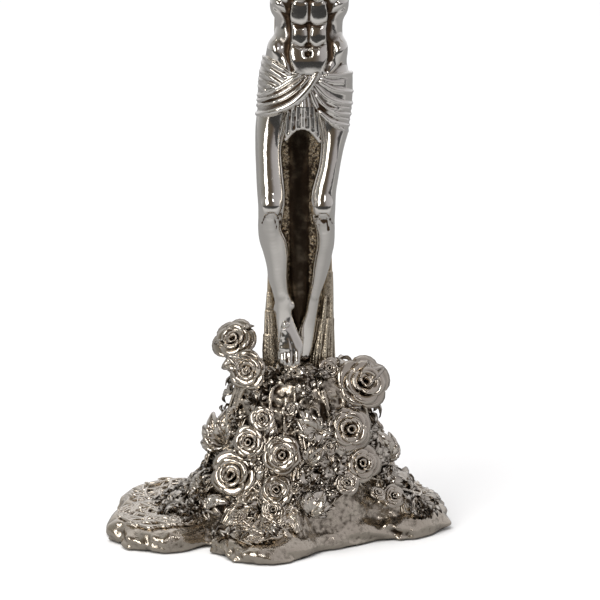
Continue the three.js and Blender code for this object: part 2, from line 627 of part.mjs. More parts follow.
// The loincloth: a band wrapped round the hips, lower on the left hip, with a fall in the middle.
const clothTop = 151;
const clothBottom = 117;
const clothThickness = 2;
const clothRings = [
  [2.3, -13, clothBottom, 21.6, 10.4], [2.5, -13.2, 124, 22.4, 12.4], [2.7, -13.2, 134, 23, 13],
  [2.9, -13.2, 144, 22.6, 12.6], [3.2, -12.8, clothTop, 20.6, 11.6],
];
const clothFall = [
  [3.4, -19, 106, 6.4, 2], [3.2, -20.5, 113, 6.8, 2.6], [3.2, -22.5, 122, 5.6, 3], [3.4, -24, 130, 3, 2.4],
];
const cloth = join([
  limb(figure(clothRings), clothThickness - 0.6, 20), limb(figure(clothFall), 0, 10),
]).subtract(bodyClear).subtract(solid(block([-99, beamFront - gap, 0], [99, 50, crossTop])));
const clothPieces = drilled(cloth).simplify(0.03).decompose().sort((a, b) => b.volume() - a.volume());
place("loincloth", clothPieces[0], silver);

place("crown_of_thorns", crown(0), darkSilver);
nails.forEach((n) => place(n.name, nail(n), silver));

// ---------------------------------------------------------------- scroll above the head
const scroll = solid(block(
  [-scrollHalf, scrollFront, scrollCentre - 7], [scrollHalf, beamFront - gap, scrollCentre + 7],
));
const curls = [-1, 1].map((side) => solid(
  bar(1.6, scrollCentre - 8.2, scrollCentre + 8.2, 12)
    .translate(side * (scrollHalf + 0.4), beamFront - gap - 1.6, 0),
));
place("title_scroll", drilled(join([scroll, ...curls])), silver);
scrollPins.forEach((p) => place(p.name, scrollPin(p), darkSilver));

// ---------------------------------------------------------------- roses and leaves
allBlooms.forEach((b) => place(b.name, bloom(b), darkSilver));
leafSeats.forEach((l) => {
  const clear = allBlooms.reduce((left, b) => left.subtract(bloom(b, gap)), leaf(l));
  const largest = clear.decompose().sort((a, b) => b.volume() - a.volume())[0];
  place(l.name, largest, darkSilver);
});

export default part;
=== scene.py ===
# An altar crucifix of silver-plated castings: the cross stands in a mound of roses on a lobed rock.
import math
import json
import bpy
import openvdb
import numpy as np
from mathutils import Matrix, Vector

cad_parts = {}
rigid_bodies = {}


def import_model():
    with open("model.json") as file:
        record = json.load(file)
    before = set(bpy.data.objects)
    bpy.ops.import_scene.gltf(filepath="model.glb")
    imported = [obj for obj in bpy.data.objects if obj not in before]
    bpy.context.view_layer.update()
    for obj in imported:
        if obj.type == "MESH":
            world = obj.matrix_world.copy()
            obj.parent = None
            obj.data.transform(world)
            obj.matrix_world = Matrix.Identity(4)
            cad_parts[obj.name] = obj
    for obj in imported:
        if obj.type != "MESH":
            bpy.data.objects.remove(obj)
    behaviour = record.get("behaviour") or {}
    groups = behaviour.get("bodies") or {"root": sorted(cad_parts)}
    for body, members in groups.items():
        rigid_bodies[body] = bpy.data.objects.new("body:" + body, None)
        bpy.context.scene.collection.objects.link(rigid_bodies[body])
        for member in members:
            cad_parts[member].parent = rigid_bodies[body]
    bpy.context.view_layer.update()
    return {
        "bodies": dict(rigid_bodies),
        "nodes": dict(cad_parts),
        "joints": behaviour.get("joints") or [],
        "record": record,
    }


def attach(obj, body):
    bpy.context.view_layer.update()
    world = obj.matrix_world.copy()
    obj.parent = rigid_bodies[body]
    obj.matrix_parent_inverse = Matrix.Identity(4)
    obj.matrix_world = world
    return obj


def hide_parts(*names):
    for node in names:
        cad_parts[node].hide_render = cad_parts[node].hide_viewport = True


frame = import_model()

# ------------------------------------------------------------------ the silver
# Every casting is plated in silver, then darkened with liver of sulphur and wiped: the brown-black
# stays in the hollows and the raised parts are bright. The value on the mesh that the silver reads says how
# deep a spot lies; on the figure, the cross's ridges and down in the roses it also carries painted shade and
# painted reflection.


def node(tree, kind, values=None, **settings):
    """A node in a tree, with its settings made and its inputs set or linked."""
    made = tree.nodes.new(kind)
    for key, value in settings.items():
        setattr(made, key, value)
    for key, value in (values or {}).items():
        if isinstance(value, bpy.types.NodeSocket):
            tree.links.new(value, made.inputs[key])
        else:
            made.inputs[key].default_value = value
    return made


def maths(tree, what, *values):
    return node(tree, "ShaderNodeMath", dict(enumerate(values)), operation=what).outputs[0]


def blend(tree, share, first, second):
    """A colour between two, by a share."""
    values = {"A": (*first, 1), "B": second if isinstance(second, bpy.types.NodeSocket) else (*second, 1),
              "Factor": share}
    return node(tree, "ShaderNodeMix", values, data_type="RGBA").outputs["Result"]


def finish(name, **constants):
    """A new material with constants set on its shader, its node tree and its shader's inputs."""
    made = bpy.data.materials.new(name)
    made.use_nodes = True
    shader = made.node_tree.nodes["Principled BSDF"].inputs
    for key, value in constants.items():
        shader[key.replace("_", " ")].default_value = value
    return made, made.node_tree, shader


def silver(name, bright=(0.80, 0.77, 0.725), dark=(0.085, 0.056, 0.036), rough=0.1, rough_dark=0.45,
           starts=0.05, full=0.3, mottle=0.25, grain=0.0, grain_size=900, grain_dark=0.0, only_where=None):
    """Silver that is bright on top and dark where "hollow" passes from starts to full, pitted by grain."""
    made, tree, shader = finish(name, Metallic=1.0)
    place = node(tree, "ShaderNodeTexCoord").outputs["Object"]
    depth = node(tree, "ShaderNodeAttribute", attribute_name="hollow").outputs["Fac"]
    cloud = node(tree, "ShaderNodeTexNoise", {"Scale": 140, "Detail": 5, "Vector": place}).outputs["Fac"]
    stained = maths(tree, "ADD", depth, maths(tree, "MULTIPLY_ADD", cloud, mottle, -mottle / 2))
    if grain:
        pits = node(tree, "ShaderNodeTexNoise",
                    {"Scale": grain_size, "Detail": 3, "Vector": place}).outputs["Fac"]
        stain, strength = maths(tree, "MULTIPLY_ADD", pits, -grain_dark, grain_dark / 2), grain
        if only_where:
            matted = node(tree, "ShaderNodeAttribute", attribute_name=only_where).outputs["Fac"]
            stain, strength = maths(tree, "MULTIPLY", matted, stain), maths(tree, "MULTIPLY", matted, grain)
        bump = node(tree, "ShaderNodeBump", {"Strength": strength, "Distance": 0.0004, "Height": pits})
        tree.links.new(bump.outputs["Normal"], shader["Normal"])
        stained = maths(tree, "ADD", stained, stain)
    tarnish = node(tree, "ShaderNodeMapRange", {"From Min": starts, "From Max": full, "Value": stained},
                   interpolation_type="SMOOTHSTEP").outputs["Result"]
    dull = node(tree, "ShaderNodeMapRange", {"To Min": rough, "To Max": rough_dark, "Value": tarnish})
    tree.links.new(blend(tree, tarnish, bright, dark), shader["Base Color"])
    tree.links.new(dull.outputs["Result"], shader["Roughness"])
    return made


def hollows(mesh, rounds=3, broad=0.0):
    """Writes how concave each spot is, in 1/mm, smoothed over its neighbours, and near and broad dips."""
    n = len(mesh.vertices)
    spots, facing = np.zeros(n * 3), np.zeros(n * 3)
    mesh.vertices.foreach_get("co", spots)
    mesh.vertex_normals.foreach_get("vector", facing)
    ends = np.zeros(len(mesh.edges) * 2, np.int32)
    mesh.edges.foreach_get("vertices", ends)
    spots, facing, (a, b) = spots.reshape(-1, 3) * 1000, facing.reshape(-1, 3), ends.reshape(-1, 2).T
    across = spots[b] - spots[a]
    squared = np.maximum((across ** 2).sum(1), 1e-6)
    met = np.maximum(np.bincount(a, minlength=n) + np.bincount(b, minlength=n), 1)
    depth = (np.bincount(a, (facing[a] * across).sum(1) / squared, n)
             - np.bincount(b, (facing[b] * across).sum(1) / squared, n)) / met
    wide = depth
    for lap in range(rounds + (30 if broad else 0)):
        wide = 0.3 * wide + 0.7 * (np.bincount(a, wide[b], n) + np.bincount(b, wide[a], n)) / met
        if lap < rounds:
            depth = wide
    depth = depth + broad * wide
    layer = mesh.attributes.new("hollow", "FLOAT", "POINT")
    layer.data.foreach_set("value", depth.astype(np.float32))


def add_patina_and_shade(piece, extra):
    """Adds to the value that darkens each spot of a piece: more patina, and in places painted shade and
    painted reflection.
    """
    layer = piece.data.attributes["hollow"].data
    depth = np.zeros(len(layer), np.float32)
    layer.foreach_get("value", depth)
    layer.foreach_set("value", depth + np.asarray(extra, np.float32))


def cast(name, spots, faces, material, stands_for=(), rounds=3, broad=0.0):
    """A finished piece from points in millimetres and faces, riding on the object."""
    mesh = bpy.data.meshes.new(name)
    spots = np.asarray(spots, np.float32) / 1000
    mesh.vertices.add(len(spots))
    mesh.vertices.foreach_set("co", spots.ravel())
    sizes = np.concatenate([np.full(len(f), np.shape(f)[1], np.int32) for f in faces if len(f)])
    corners = np.concatenate([np.asarray(f, np.int32).ravel() for f in faces if len(f)])
    mesh.loops.add(len(corners))
    mesh.loops.foreach_set("vertex_index", corners)
    mesh.polygons.add(len(sizes))
    mesh.polygons.foreach_set("loop_start", np.concatenate([[0], np.cumsum(sizes)[:-1]]).astype(np.int32))
    mesh.polygons.foreach_set("use_smooth", np.ones(len(sizes), bool))
    mesh.update(calc_edges=True)
    mesh.validate()
    hollows(mesh, rounds, broad)
    piece = bpy.data.objects.new(name, mesh)
    bpy.context.scene.collection.objects.link(piece)
    mesh.materials.append(material)
    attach(piece, "root")
    if stands_for:
        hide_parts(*stands_for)
    return piece


# ------------------------------------------------------------------ the wax
# The figure and the rock are modelled in wax before casting: masses pressed together, folds laid
# on in rolls and lines cut in with a tool. The wax is a block of distances, negative inside.


class Wax:
    def __init__(self, low, high, cell):
        self.low, self.cell = np.array(low, float), cell
        self.depth = np.full(np.ceil((np.array(high) - low) / cell).astype(int) + 1, 6.0, np.float32)

    def part(self, low, high):
        first = np.clip(((np.array(low) - self.low) / self.cell).astype(int), 0, self.depth.shape)
        last = np.clip(((np.array(high) - self.low) / self.cell).astype(int) + 2, 0, self.depth.shape)
        axes = [self.low[i] + self.cell * np.arange(first[i], last[i]) for i in range(3)]
        return tuple(map(slice, first, last)), np.meshgrid(*axes, indexing="ij", sparse=True)

    def press(self, where, shape, soft=1.0, cut=False):
        """Adds a shape, or cuts it away, with the join rounded over a width."""
        have = self.depth[where]
        shape = -shape if cut else shape
        ease = np.maximum(soft - np.abs(have - shape), 0) ** 2 / (4 * soft)
        self.depth[where] = np.maximum(have, shape) + ease if cut else np.minimum(have, shape) - ease

    def ball(self, centre, radii, soft=1.0, turn=0.0, cut=False):
        reach = max(radii) + soft + 1
        where, (x, y, z) = self.part(np.array(centre) - reach, np.array(centre) + reach)
        c, s = math.cos(math.radians(turn)), math.sin(math.radians(turn))
        dx, dy, dz = x - centre[0], y - centre[1], z - centre[2]
        u, v, w = (c * dx - s * dz) / radii[0], dy / radii[1], (s * dx + c * dz) / radii[2]
        g = np.sqrt(u * u + v * v + w * w) + 1e-6
        slope = np.sqrt((u / radii[0]) ** 2 + (v / radii[1]) ** 2 + (w / radii[2]) ** 2) + 1e-6
        self.press(where, (g - 1) * g / slope, soft, cut)

    def roll(self, path, radii, soft=1.0, cut=False, squash=1.0):
        """A roll of wax along points, with a radius at each; squash below 1 flattens it to the back."""
        path, radii = np.asarray(path, float), np.broadcast_to(radii, len(path)).astype(float)
        reach = radii.max() + soft + 0.5
        where, (x, y, z) = self.part(path.min(0) - reach, path.max(0) + reach)
        if 0 in self.depth[where].shape:
            return
        nearest = None
        for p, q, r0, r1 in zip(path[:-1], path[1:], radii[:-1], radii[1:]):
            d = q - p
            t = np.clip(((x - p[0]) * d[0] + (y - p[1]) * d[1] + (z - p[2]) * d[2]) / max(d @ d, 1e-9), 0, 1)
            away = np.sqrt((x - p[0] - t * d[0]) ** 2 + ((y - p[1] - t * d[1]) / squash) ** 2
                           + (z - p[2] - t * d[2]) ** 2) - (r0 + t * (r1 - r0))
            nearest = away if nearest is None else np.minimum(nearest, away)
        self.press(where, nearest, soft, cut)

    def limb(self, table, soft=1.0, power=2.0, frame=None):
        """A trunk or limb from rows [along, side, depth, half width, front, back]."""
        table = np.asarray(table, float)
        where, (x, y, z) = self.part(self.low, self.low + self.cell * np.array(self.depth.shape))
        if frame is None:
            side, deep, along = x, y, z
            rows = [c.reshape(1, 1, -1) for c in even_run(z.ravel(), table).T]
        else:
            root, across, run = frame
            at = lambda way: (x - root[0]) * way[0] + (y - root[1]) * way[1] + (z - root[2]) * way[2]
            side, deep, along = at(across), at(np.cross(run, across)), at(run)
            fine = np.linspace(table[0, 0], table[-1, 0], 400)
            smooth = even_run(fine, table)
            rows = [np.interp(along, fine, smooth[:, i]) for i in range(table.shape[1])]
        _, middle, back_to, half, front, back = rows
        u = np.abs(side - middle) / half
        v = deep - back_to
        thick = np.where(v < 0, front, back)
        v = np.abs(v) / thick
        g = (u ** power + v ** power) ** (1 / power) + 1e-6
        slope = np.sqrt((u ** (power - 1) / half) ** 2
                        + (v ** (power - 1) / thick) ** 2) / g ** (power - 1) + 1e-4
        away = np.clip((g - 1) / slope, -9, 9)
        past = np.maximum(np.maximum(table[0, 0] - along, along - table[-1, 0]), 0)
        round_off = 0.7 * np.minimum(half, front)
        away = np.hypot(np.maximum(away + round_off, 0), past) - round_off + np.minimum(away + round_off, 0)
        self.press(where, away.astype(np.float32), soft)

    def skin(self, x, z):
        """How far back the wax's face is at a spot, seen from the front."""
        i = np.clip(np.round((np.array([x, z]) - self.low[[0, 2]]) / self.cell).astype(int), 0,
                    np.array(self.depth.shape)[[0, 2]] - 1)
        column = self.depth[i[0], :, i[1]]
        if not (column < 0).any():
            return self.low[1] + self.cell * len(column) * 0.5
        k = max(int(np.argmax(column < 0)), 1)
        return self.low[1] + self.cell * (k - 1 + column[k - 1] / (column[k - 1] - column[k]))

    def lay(self, line, sink=0.0, step=0.8):
        """Points along a line of [x, z] spots, rounded off and laid on the wax's face."""
        line = np.asarray(line, float)
        gone = np.concatenate([[0], np.cumsum(np.hypot(*np.diff(line, axis=0).T))])
        fine = np.linspace(0, gone[-1], max(int(gone[-1] / step), 2) + 1)
        flat = even_run(fine, np.column_stack([gone, line]))[:, 1:]
        return np.array([[x, self.skin(x, z) + sink, z] for x, z in flat])

    def settle(self, spots, lift, steps=5):
        """Moves points on to the wax's face, or to a height above it."""
        spots = np.array(spots, float)
        lift = np.broadcast_to(lift, len(spots))
        for _ in range(steps):
            at = np.clip((spots - self.low) / self.cell, 1, np.array(self.depth.shape) - 2.01)
            i = at.astype(int)
            f = at - i
            value, slope = np.zeros(len(spots)), np.zeros((len(spots), 3))
            for corner in range(8):
                step = np.array([corner >> 2, corner >> 1 & 1, corner & 1])
                share = np.where(step, f, 1 - f)
                cell = self.depth[tuple((i + step).T)]
                value += cell * share.prod(1)
                for axis in range(3):
                    slope[:, axis] += (2 * step[axis] - 1) * cell * np.delete(share, axis, 1).prod(1)
            slope /= np.linalg.norm(slope, axis=1, keepdims=True) + 1e-9
            spots -= slope * np.clip(value - lift, -3, 3)[:, None]
        return spots, slope

    def pour(self):
        """The surface of the wax, as points in millimetres and faces."""
        grid = openvdb.FloatGrid(background=2.0)
        grid.copyFromArray(np.clip(self.depth / self.cell, -2, 2), tolerance=0.0)
        spots, quads = grid.convertToQuads(isovalue=0.0)
        quads = np.asarray(quads)
        corners = spots[quads[:, :3]]
        swept = np.einsum("ij,ij->i", corners[:, 0], np.cross(corners[:, 1], corners[:, 2])).sum()
        return spots * self.cell + self.low, quads[:, ::-1] if swept < 0 else quads


def even_run(t, table):
    """Each column of a table as a smooth curve of its first column."""
    s = table[:, 0]
    slope = np.gradient(table, s, axis=0)
    k = np.clip(np.searchsorted(s, t) - 1, 0, len(s) - 2)
    h = (s[k + 1] - s[k])[:, None]
    u = np.clip((t - s[k])[:, None] / h, 0, 1)
    return ((2 * u ** 3 - 3 * u ** 2 + 1) * table[k] + (u ** 3 - 2 * u ** 2 + u) * h * slope[k]
            + (3 * u ** 2 - 2 * u ** 3) * table[k + 1] + (u ** 3 - u ** 2) * h * slope[k + 1])


# ------------------------------------------------------------------ the figure's trunk and legs
# One solid casting, modelled in the round and mirror polished. The weight hangs on the arms, the
# hips swing a little to one side and the knees come forward, with one foot laid over the other.
polished = silver("polished silver", starts=0.05, full=0.3, mottle=0.2, rough=0.1, grain=0.4, grain_size=120)
beam_face = -4.3
body = Wax([-25, -37, 84], [29, beam_face, 308], 0.55)
body.limb([
    [211, 1.8, -13, 12, 3, 8], [214.5, 2.2, -14.6, 18.5, 8.6, 10],
    [218, 2.4, -15.5, 21.4, 12, 10.8], [226, 2.6, -15.5, 21, 12, 10.8], [233, 2.4, -15.3, 19.9, 11.6, 10.5],
    [240.7, 3.1, -15, 18.1, 11, 10], [246.3, 3.8, -14.8, 16.4, 10.6, 9.6],
    [251.9, 4.2, -14.8, 15.9, 10.8, 9.6],
    [257.5, 4.5, -15, 16.6, 11.6, 10], [263, 4.7, -15.4, 17.9, 12.8, 10.6], [270, 4.6, -15.8, 19.4, 13.6, 11],
    [277, 4.3, -16, 20.6, 13.4, 11.2], [284, 3.8, -16, 20.4, 12, 11], [290, 3, -16, 17, 10, 10],
    [295, 1.6, -16.4, 10.6, 8, 8], [300, -0.4, -17.4, 7, 6.6, 6.8], [307, -2.6, -19.5, 6.4, 6.2, 6.4],
], power=2.45)
near_leg = [
    [86.9, -4.4, -17.9, 4.2, 1.4, 2], [90, -4.4, -17.4, 5.1, 2, 2.6], [93, -4.4, -16.9, 5.7, 2.5, 3],
    [98.3, -4.8, -15.7, 6.2, 3, 3.6], [102.7, -5.9, -14.7, 5.2, 3.4, 4.2],
    [108.5, -7.3, -13.7, 4.4, 3.8, 4.6],
    [114, -7.9, -13.5, 4, 4.2, 4.6], [117.8, -7.9, -13.8, 4.3, 4.4, 4.6], [123.8, -9.4, -14.6, 4.1, 4.4, 4.6],
    [130, -10.6, -15.6, 4.8, 4.8, 5.2], [135.4, -10.8, -16.4, 5.2, 5.2, 6],
    [142.5, -11.5, -17.5, 6.1, 5.8, 7.2],
    [149, -12.9, -19, 6.6, 6, 7.6], [155.6, -14.4, -21.4, 5.7, 6.2, 7.2], [161.7, -13.8, -23.6, 6.1, 6.4, 7],
    [166, -13.5, -24.4, 6.4, 6.8, 7], [174.6, -13.8, -23.4, 6.7, 7, 7.5], [183, -14.4, -21.2, 6.5, 7.4, 8],
    [195, -14.7, -18.4, 6.6, 7.8, 8.4], [203.5, -13.4, -17, 7.8, 8.2, 8.8], [214, -11, -16, 9, 9, 9],
]
far_leg = [
    [90, 1.2, -9.2, 3.8, 1.6, 1.8], [93, 1.6, -9, 4.2, 2, 2], [98, 2.4, -8.7, 4.3, 2.4, 2.4],
    [105, 3.8, -8.7, 3.9, 2.8, 2.8], [111.4, 5.4, -9.3, 3.2, 3.4, 3.4], [116.3, 6.2, -10.1, 3.1, 3.8, 3.6],
    [122.8, 7.4, -11.5, 3.2, 4, 4], [129, 8.9, -13, 3.6, 4.6, 4.8], [135, 10, -14.6, 4.1, 5, 5.8],
    [142.5, 11.3, -16.6, 4.3, 5.6, 6.8], [146, 11.9, -17.6, 4.4, 6, 7.2], [154, 12, -20.4, 4.7, 6, 7],
    [160, 11.2, -22.6, 5.4, 6.2, 7], [164, 11, -23.6, 5.8, 6.6, 7], [174, 11.4, -23.4, 5.9, 6.8, 7.4],
    [178.8, 12.4, -22.4, 5.7, 7, 7.6], [185, 13.7, -21, 5.4, 7.2, 7.9], [195, 15.2, -18.6, 6, 7.6, 8.2],
    [201, 15.9, -17.5, 7, 8, 8.6], [214, 14, -16, 9, 9, 9],
]
body.limb(near_leg, 2.0, power=2.2)
body.limb(far_leg, 2.0, power=2.2)

middle = 4.2
for side in (-1, 1):
    # Chest muscles, ribs' edge, the three pairs of belly muscles and the flanks.
    body.ball([middle - 0.2 + side * 8.6, -25.5, 280], [10, 5, 7.2], 3.2, turn=side * 14)
    body.ball([middle + side * 10.8, -30.3, 276], [1, 0.8, 1], 0.6)
    body.ball([middle + side * 4.4, -26.2, 267.5], [4.8, 2.7, 4.8], 3.0)
    body.ball([middle + side * 4.6, -25.1, 257], [5, 2.6, 6], 3.0)
    body.ball([middle - 0.2 + side * 4.4, -24, 246.6], [4.9, 2.6, 4.9], 2.9)
    body.ball([middle - 0.8 + side * 4.2, -24.6, 235], [6, 3.4, 6.6], 3)
    body.ball([middle - 0.6 + side * 14.6, -18.6, 239.5], [4.2, 6.8, 6.4], 2.4, turn=side * 12)
    body.ball([middle + side * 13.4, -19.4, 262], [4.6, 7, 6.6], 3, turn=side * -18)
    for rib in range(3):
        high = 270.5 - 5.4 * rib
        body.roll(body.lay([[middle + side * 16.2, high], [middle + side * 12.4, high - 2.6],
                            [middle + side * (10.4 - 0.5 * rib), high - 5.2]], 0.1), 0.55, 1.2, cut=True)
    edge = body.lay([[middle + side * 1, 271], [middle + side * 7.4, 266], [middle + side * 9.9, 257],
                     [middle + side * 9.2, 247], [middle + side * 10.2, 238], [middle + side * 8.2, 231]],
                    0.25)
    body.roll(edge, 0.8, 2.0, cut=True)
    groin = body.lay([[middle + side * 15.5, 233.5], [middle + side * 10, 228], [middle + side * 5, 222]],
                     0.2)
    body.roll(groin, 0.6, 1.6, cut=True)
    collar = body.lay([[middle - 2.6 + side * 2, 289.6], [middle - 2 + side * 8, 290.5],
                       [middle - 1.6 + side * 14, 292.5]])
    body.roll(collar, 0.9, 1.6)
body.roll(body.lay([[4.1, 288], [4.4, 276], [4.4, 262], [4.1, 252], [3.9, 243], [3.8, 239.6]], 0.3), 0.5, 1.6,
          cut=True)
for level, half in ((262.6, 7.6), (251.4, 7.8), (241.9, 7.2)):
    body.roll(body.lay([[4.2 - half, level + 1.1], [4.2 - half / 2, level - 0.2], [4.1, level + 0.7],
                        [4.2 + half / 2, level - 0.2], [4.2 + half, level + 1.1]], 0.2), 0.5, 1.4, cut=True)
body.ball([3.7, body.skin(3.7, 238.4), 238.4], [1.5, 2, 1.3], 1.4, cut=True)

# Knees, the cuts under them, shin edges, ankle bones.
scored = []
for x, z in ((-13.8, 166.5), (10.9, 166)):
    body.ball([x, body.skin(x, z) + 0.9, z], [3.9, 1.9, 4.4], 3)
    cuts = [body.lay([[x + 0.3 * reach, z - 2.6], [x + 0.72 * reach, z - 0.5 * drop - 2.8],
                      [x + reach, z - drop - 3.4]], 0.1)
            for reach, drop in ((-4.4, 4.6), (-2, 7), (0.4, 8.6), (2.6, 7.4), (4.6, 4.4))]
    for cut in cuts:
        body.roll(cut, np.linspace(0.55, 0.35, len(cut)), 0.4, cut=True)
        scored += list(cut)
body.roll(body.lay([[-14.2, 160], [-13, 148], [-11.2, 134], [-9.4, 122]], 1.2), 1.3, 2.4)
body.roll(body.lay([[11, 159], [11.4, 148], [9.4, 134], [7.2, 121]], 1.1), 1.1, 2.2)
body.ball([-4.1, -14.4, 116.4], [1.7, 1.9, 2], 1.6)
body.ball([-11.4, -13.4, 114.6], [1.4, 1.9, 2], 1.6)
# Tendons fan from the instep and each ends in a toe.
for x_top, x, thick, tip in ((-6, -1.3, 1.85, 86.9), (-6.7, -4.9, 1.4, 86.4), (-7.2, -7.1, 1.3, 87),
                             (-7.7, -8.8, 1.15, 87.9), (-8.2, -10, 1.05, 89)):
    tendon = body.lay([[x_top, 105], [(x_top + x) / 2, 99.6], [x * 0.85 + x_top * 0.15, 95.4]], 0.35)
    body.roll(tendon, 0.62, 1.0)
    top = body.skin(x, 94.5)
    body.roll([[x, top + 1.2, 95], [x, top + 0.5, 91.8], [x, top - 0.1, tip + 2.6],
               [x, top + 0.4, tip + thick]],
              [thick * 0.85, thick * 0.92, thick * 0.84, thick * 0.96], 0.35)
spots, quads = body.pour()
figure = cast("figure", spots, [quads], polished, ["corpus_body"], broad=1.8)
# Painted reflection and painted shade: the silver is darkened between the belly and the flanks and down the
# middle of the belly, for the dark room it mirrors there, and between the legs, where shade falls. The cuts
# under the knees get their patina.
beside = np.abs(spots[:, 0] - middle)
high = np.clip((spots[:, 2] - 228) / 8, 0, 1) * np.clip((300 - spots[:, 2]) / 16, 0, 1)
depth = (0.2 * np.exp(-((beside - 10.8) / 2.8) ** 2) * high * (spots[:, 1] < -18)
         + 0.07 * np.exp(-(beside / 6) ** 2) * high)
between_legs_shade = (np.clip((212 - spots[:, 2]) / 8, 0, 1)
        * np.exp(-(np.abs(spots[:, 0] + 1 + 0.02 * (spots[:, 2] - 150)) / 6.5) ** 2))
depth += 0.1 * between_legs_shade * (spots[:, 2] > 112)
for spot in scored:
    close = np.abs(spots - spot).max(1) < 2
    depth[close] += 0.16 * np.exp(-(np.linalg.norm(spots[close] - spot, axis=1) / 0.6) ** 2)
add_patina_and_shade(figure, depth)

# ------------------------------------------------------------------ the loincloth
# A cloth wound round the hips, modelled separately in wax and cast in one: a thin skin with rolls
# laid on it for the folds. One swath climbs from the right hip over another that drops to the left,
# and the end of the cloth hangs between them in upright pleats.
cloth = Wax([-25, -38, 192], [30, beam_face, 243], 0.42)
cloth.limb([
    [192, 1.2, -15, 20.8, 12.4, 10.4], [201, 1.4, -15, 21.4, 13.4, 10.5],
    [206.6, 1.8, -15.1, 21.8, 13.8, 10.6],
    [212.3, 2.1, -15.2, 22.3, 13.9, 10.7], [218, 2.4, -15.3, 22.5, 13.8, 10.8],
    [223.7, 2.6, -15.4, 22.4, 13.4, 10.8],
    [229.4, 2.8, -15.4, 21.9, 12.9, 10.7], [234, 2.5, -15.3, 20.7, 12.3, 10.6],
    [243, 2.9, -15, 18.6, 11.6, 10.2],
], power=2.5)
where, (x, y, z) = cloth.part(cloth.low, cloth.low + cloth.cell * np.array(cloth.depth.shape))
inner = cloth.depth.copy()
hem_x = [-25, -20, -12, -5, 1, 6.5, 10, 14, 19, 24, 30]
top = np.interp(x, [-25, -18.5, -4.7, 4, 8.4, 30], [240.6, 237.6, 230.2, 227.8, 228.8, 229.4])
hem = np.interp(x, hem_x, [207.5, 208, 209.4, 213, 219, 216, 211, 206.6, 202.6, 200.2, 199])
across = y + 0 * z
hem = np.where(across > -17, np.interp(x, [-25, 30], [207.6, 200.4]), hem)
cloth.depth = np.maximum(cloth.depth, np.maximum(z - top, hem - z)).astype(np.float32)

folds = [
    # The gathers that run down from the right hip, short of the crossing swath.
    ([[-19.4, 236.6], [-12, 233.6], [-4.8, 229.8]], 0.95),
    ([[-20.4, 233.4], [-13, 230.6], [-7.4, 227.2]], 0.8),
    ([[-20.6, 229.6], [-14, 227.8], [-9.6, 225]], 0.85),
    ([[-20.8, 226], [-15.4, 224.6], [-11.4, 222.6]], 0.75),
    ([[-21, 222.4], [-16.6, 221.4]], 0.7),
    # The great swath, climbing from the right thigh to the middle.
    ([[-18, 219], [-10, 222.8], [-2, 228], [2.6, 231]], 0.95),
    ([[-19, 216.4], [-10, 219.6], [-1, 225.4], [5, 231]], 1.05),
    ([[-20.4, 213.8], [-11, 216.4], [-1.4, 222], [6.6, 230.8]], 1.15),
    ([[-21, 209.8], [-12.4, 211.6], [-3.6, 215.6], [3, 221.6], [8.6, 230]], 1.95),
    # The swath that drops to the left hip.
    ([[8.6, 229.4], [14, 228.6], [25, 229.2]], 1.0), ([[9.6, 225.6], [16, 222], [25.2, 220.4]], 0.9),
    ([[7.4, 224], [13, 218.4], [19, 215.6], [25.2, 214.8]], 1.05),
    ([[6.2, 222.4], [11, 214.6], [17.6, 210.8], [25, 209.6]], 1.0),
    ([[5.4, 220.6], [9, 212.6], [15.6, 206.8], [24.4, 204.4]], 1.15),
    ([[9.6, 211.4], [15.6, 205.6], [23.6, 201.4]], 1.0),
    ([[8, 219], [13.4, 213.4], [20, 212.4]], 0.6), ([[9.4, 227], [15.6, 225.2], [20, 225]], 0.5),
    # Fine creases between them.
    ([[-16, 217.4], [-8, 220.8], [0, 226.4]], 0.5), ([[-17, 214.8], [-8, 217.6], [0, 223]], 0.55),
    ([[-17.6, 228], [-12.4, 226]], 0.45), ([[-17, 224.4], [-13.4, 223.4]], 0.45),
    ([[11.6, 212], [18.6, 208.4], [24.6, 207]], 0.55), ([[12.6, 216.6], [18.4, 213.6], [24.6, 212.4]], 0.5),
]
hip_rows = np.array([[192, 1.2, 20.8], [206.6, 1.8, 21.8], [215, 2.2, 22.4], [223.7, 2.6, 22.4],
                     [229.4, 2.8, 21.9],
                     [234, 2.5, 20.7], [243, 2.9, 18.6]])
for line, thick in folds:
    line = np.array(line, float)
    middle = np.interp(line[:, 1], hip_rows[:, 0], hip_rows[:, 1])
    reach = np.interp(line[:, 1], hip_rows[:, 0], hip_rows[:, 2]) - 1.1
    to_left, to_right = line[0, 0] <= middle[0] - reach[0] + 2.2, line[-1, 0] >= middle[-1] + reach[-1] - 2.2
    line[:, 0] = np.clip(line[:, 0], middle - reach, middle + reach)
    path = cloth.lay(line, 0.15)
    taper = 0.55 + 0.45 * np.sin(np.linspace(0.25, 2.9, len(path)))
    # A fold that reaches the hip goes on round it to the back.
    for end, at_edge in ((0, to_left), (-1, to_right)):
        if at_edge:
            way = -1 if end == 0 else 1
            x0, y0, z0 = path[end]
            slope = ((path[end][2] - path[end + way * -2][2])
                     / max(abs(path[end][0] - path[end + way * -2][0]), 0.5))
            bend = cloth.settle([[x0 + way * 0.8, y0 + 3, z0 + slope * 0.6],
                                 [x0 + way * 1.2, y0 + 6.5, z0 + slope * 1],
                                 [x0 + way * 1.0, -12, z0 + slope * 1.3],
                                 [x0 - way * 2, -8, z0 + slope * 1.5]], -0.1)[0]
            path = np.vstack([bend[::-1], path]) if end == 0 else np.vstack([path, bend])
            ends_at = [0.5, 0.7, 0.75, 0.6]
            taper = np.concatenate([ends_at, taper]) if end == 0 else np.concatenate([taper, ends_at[::-1]])
    cloth.roll(path, thick * taper, 0.7, squash=1.15)
# Hollow out the cloth from inside and leave a skin.
cloth.depth = np.maximum(cloth.depth, -(inner + 1.5))
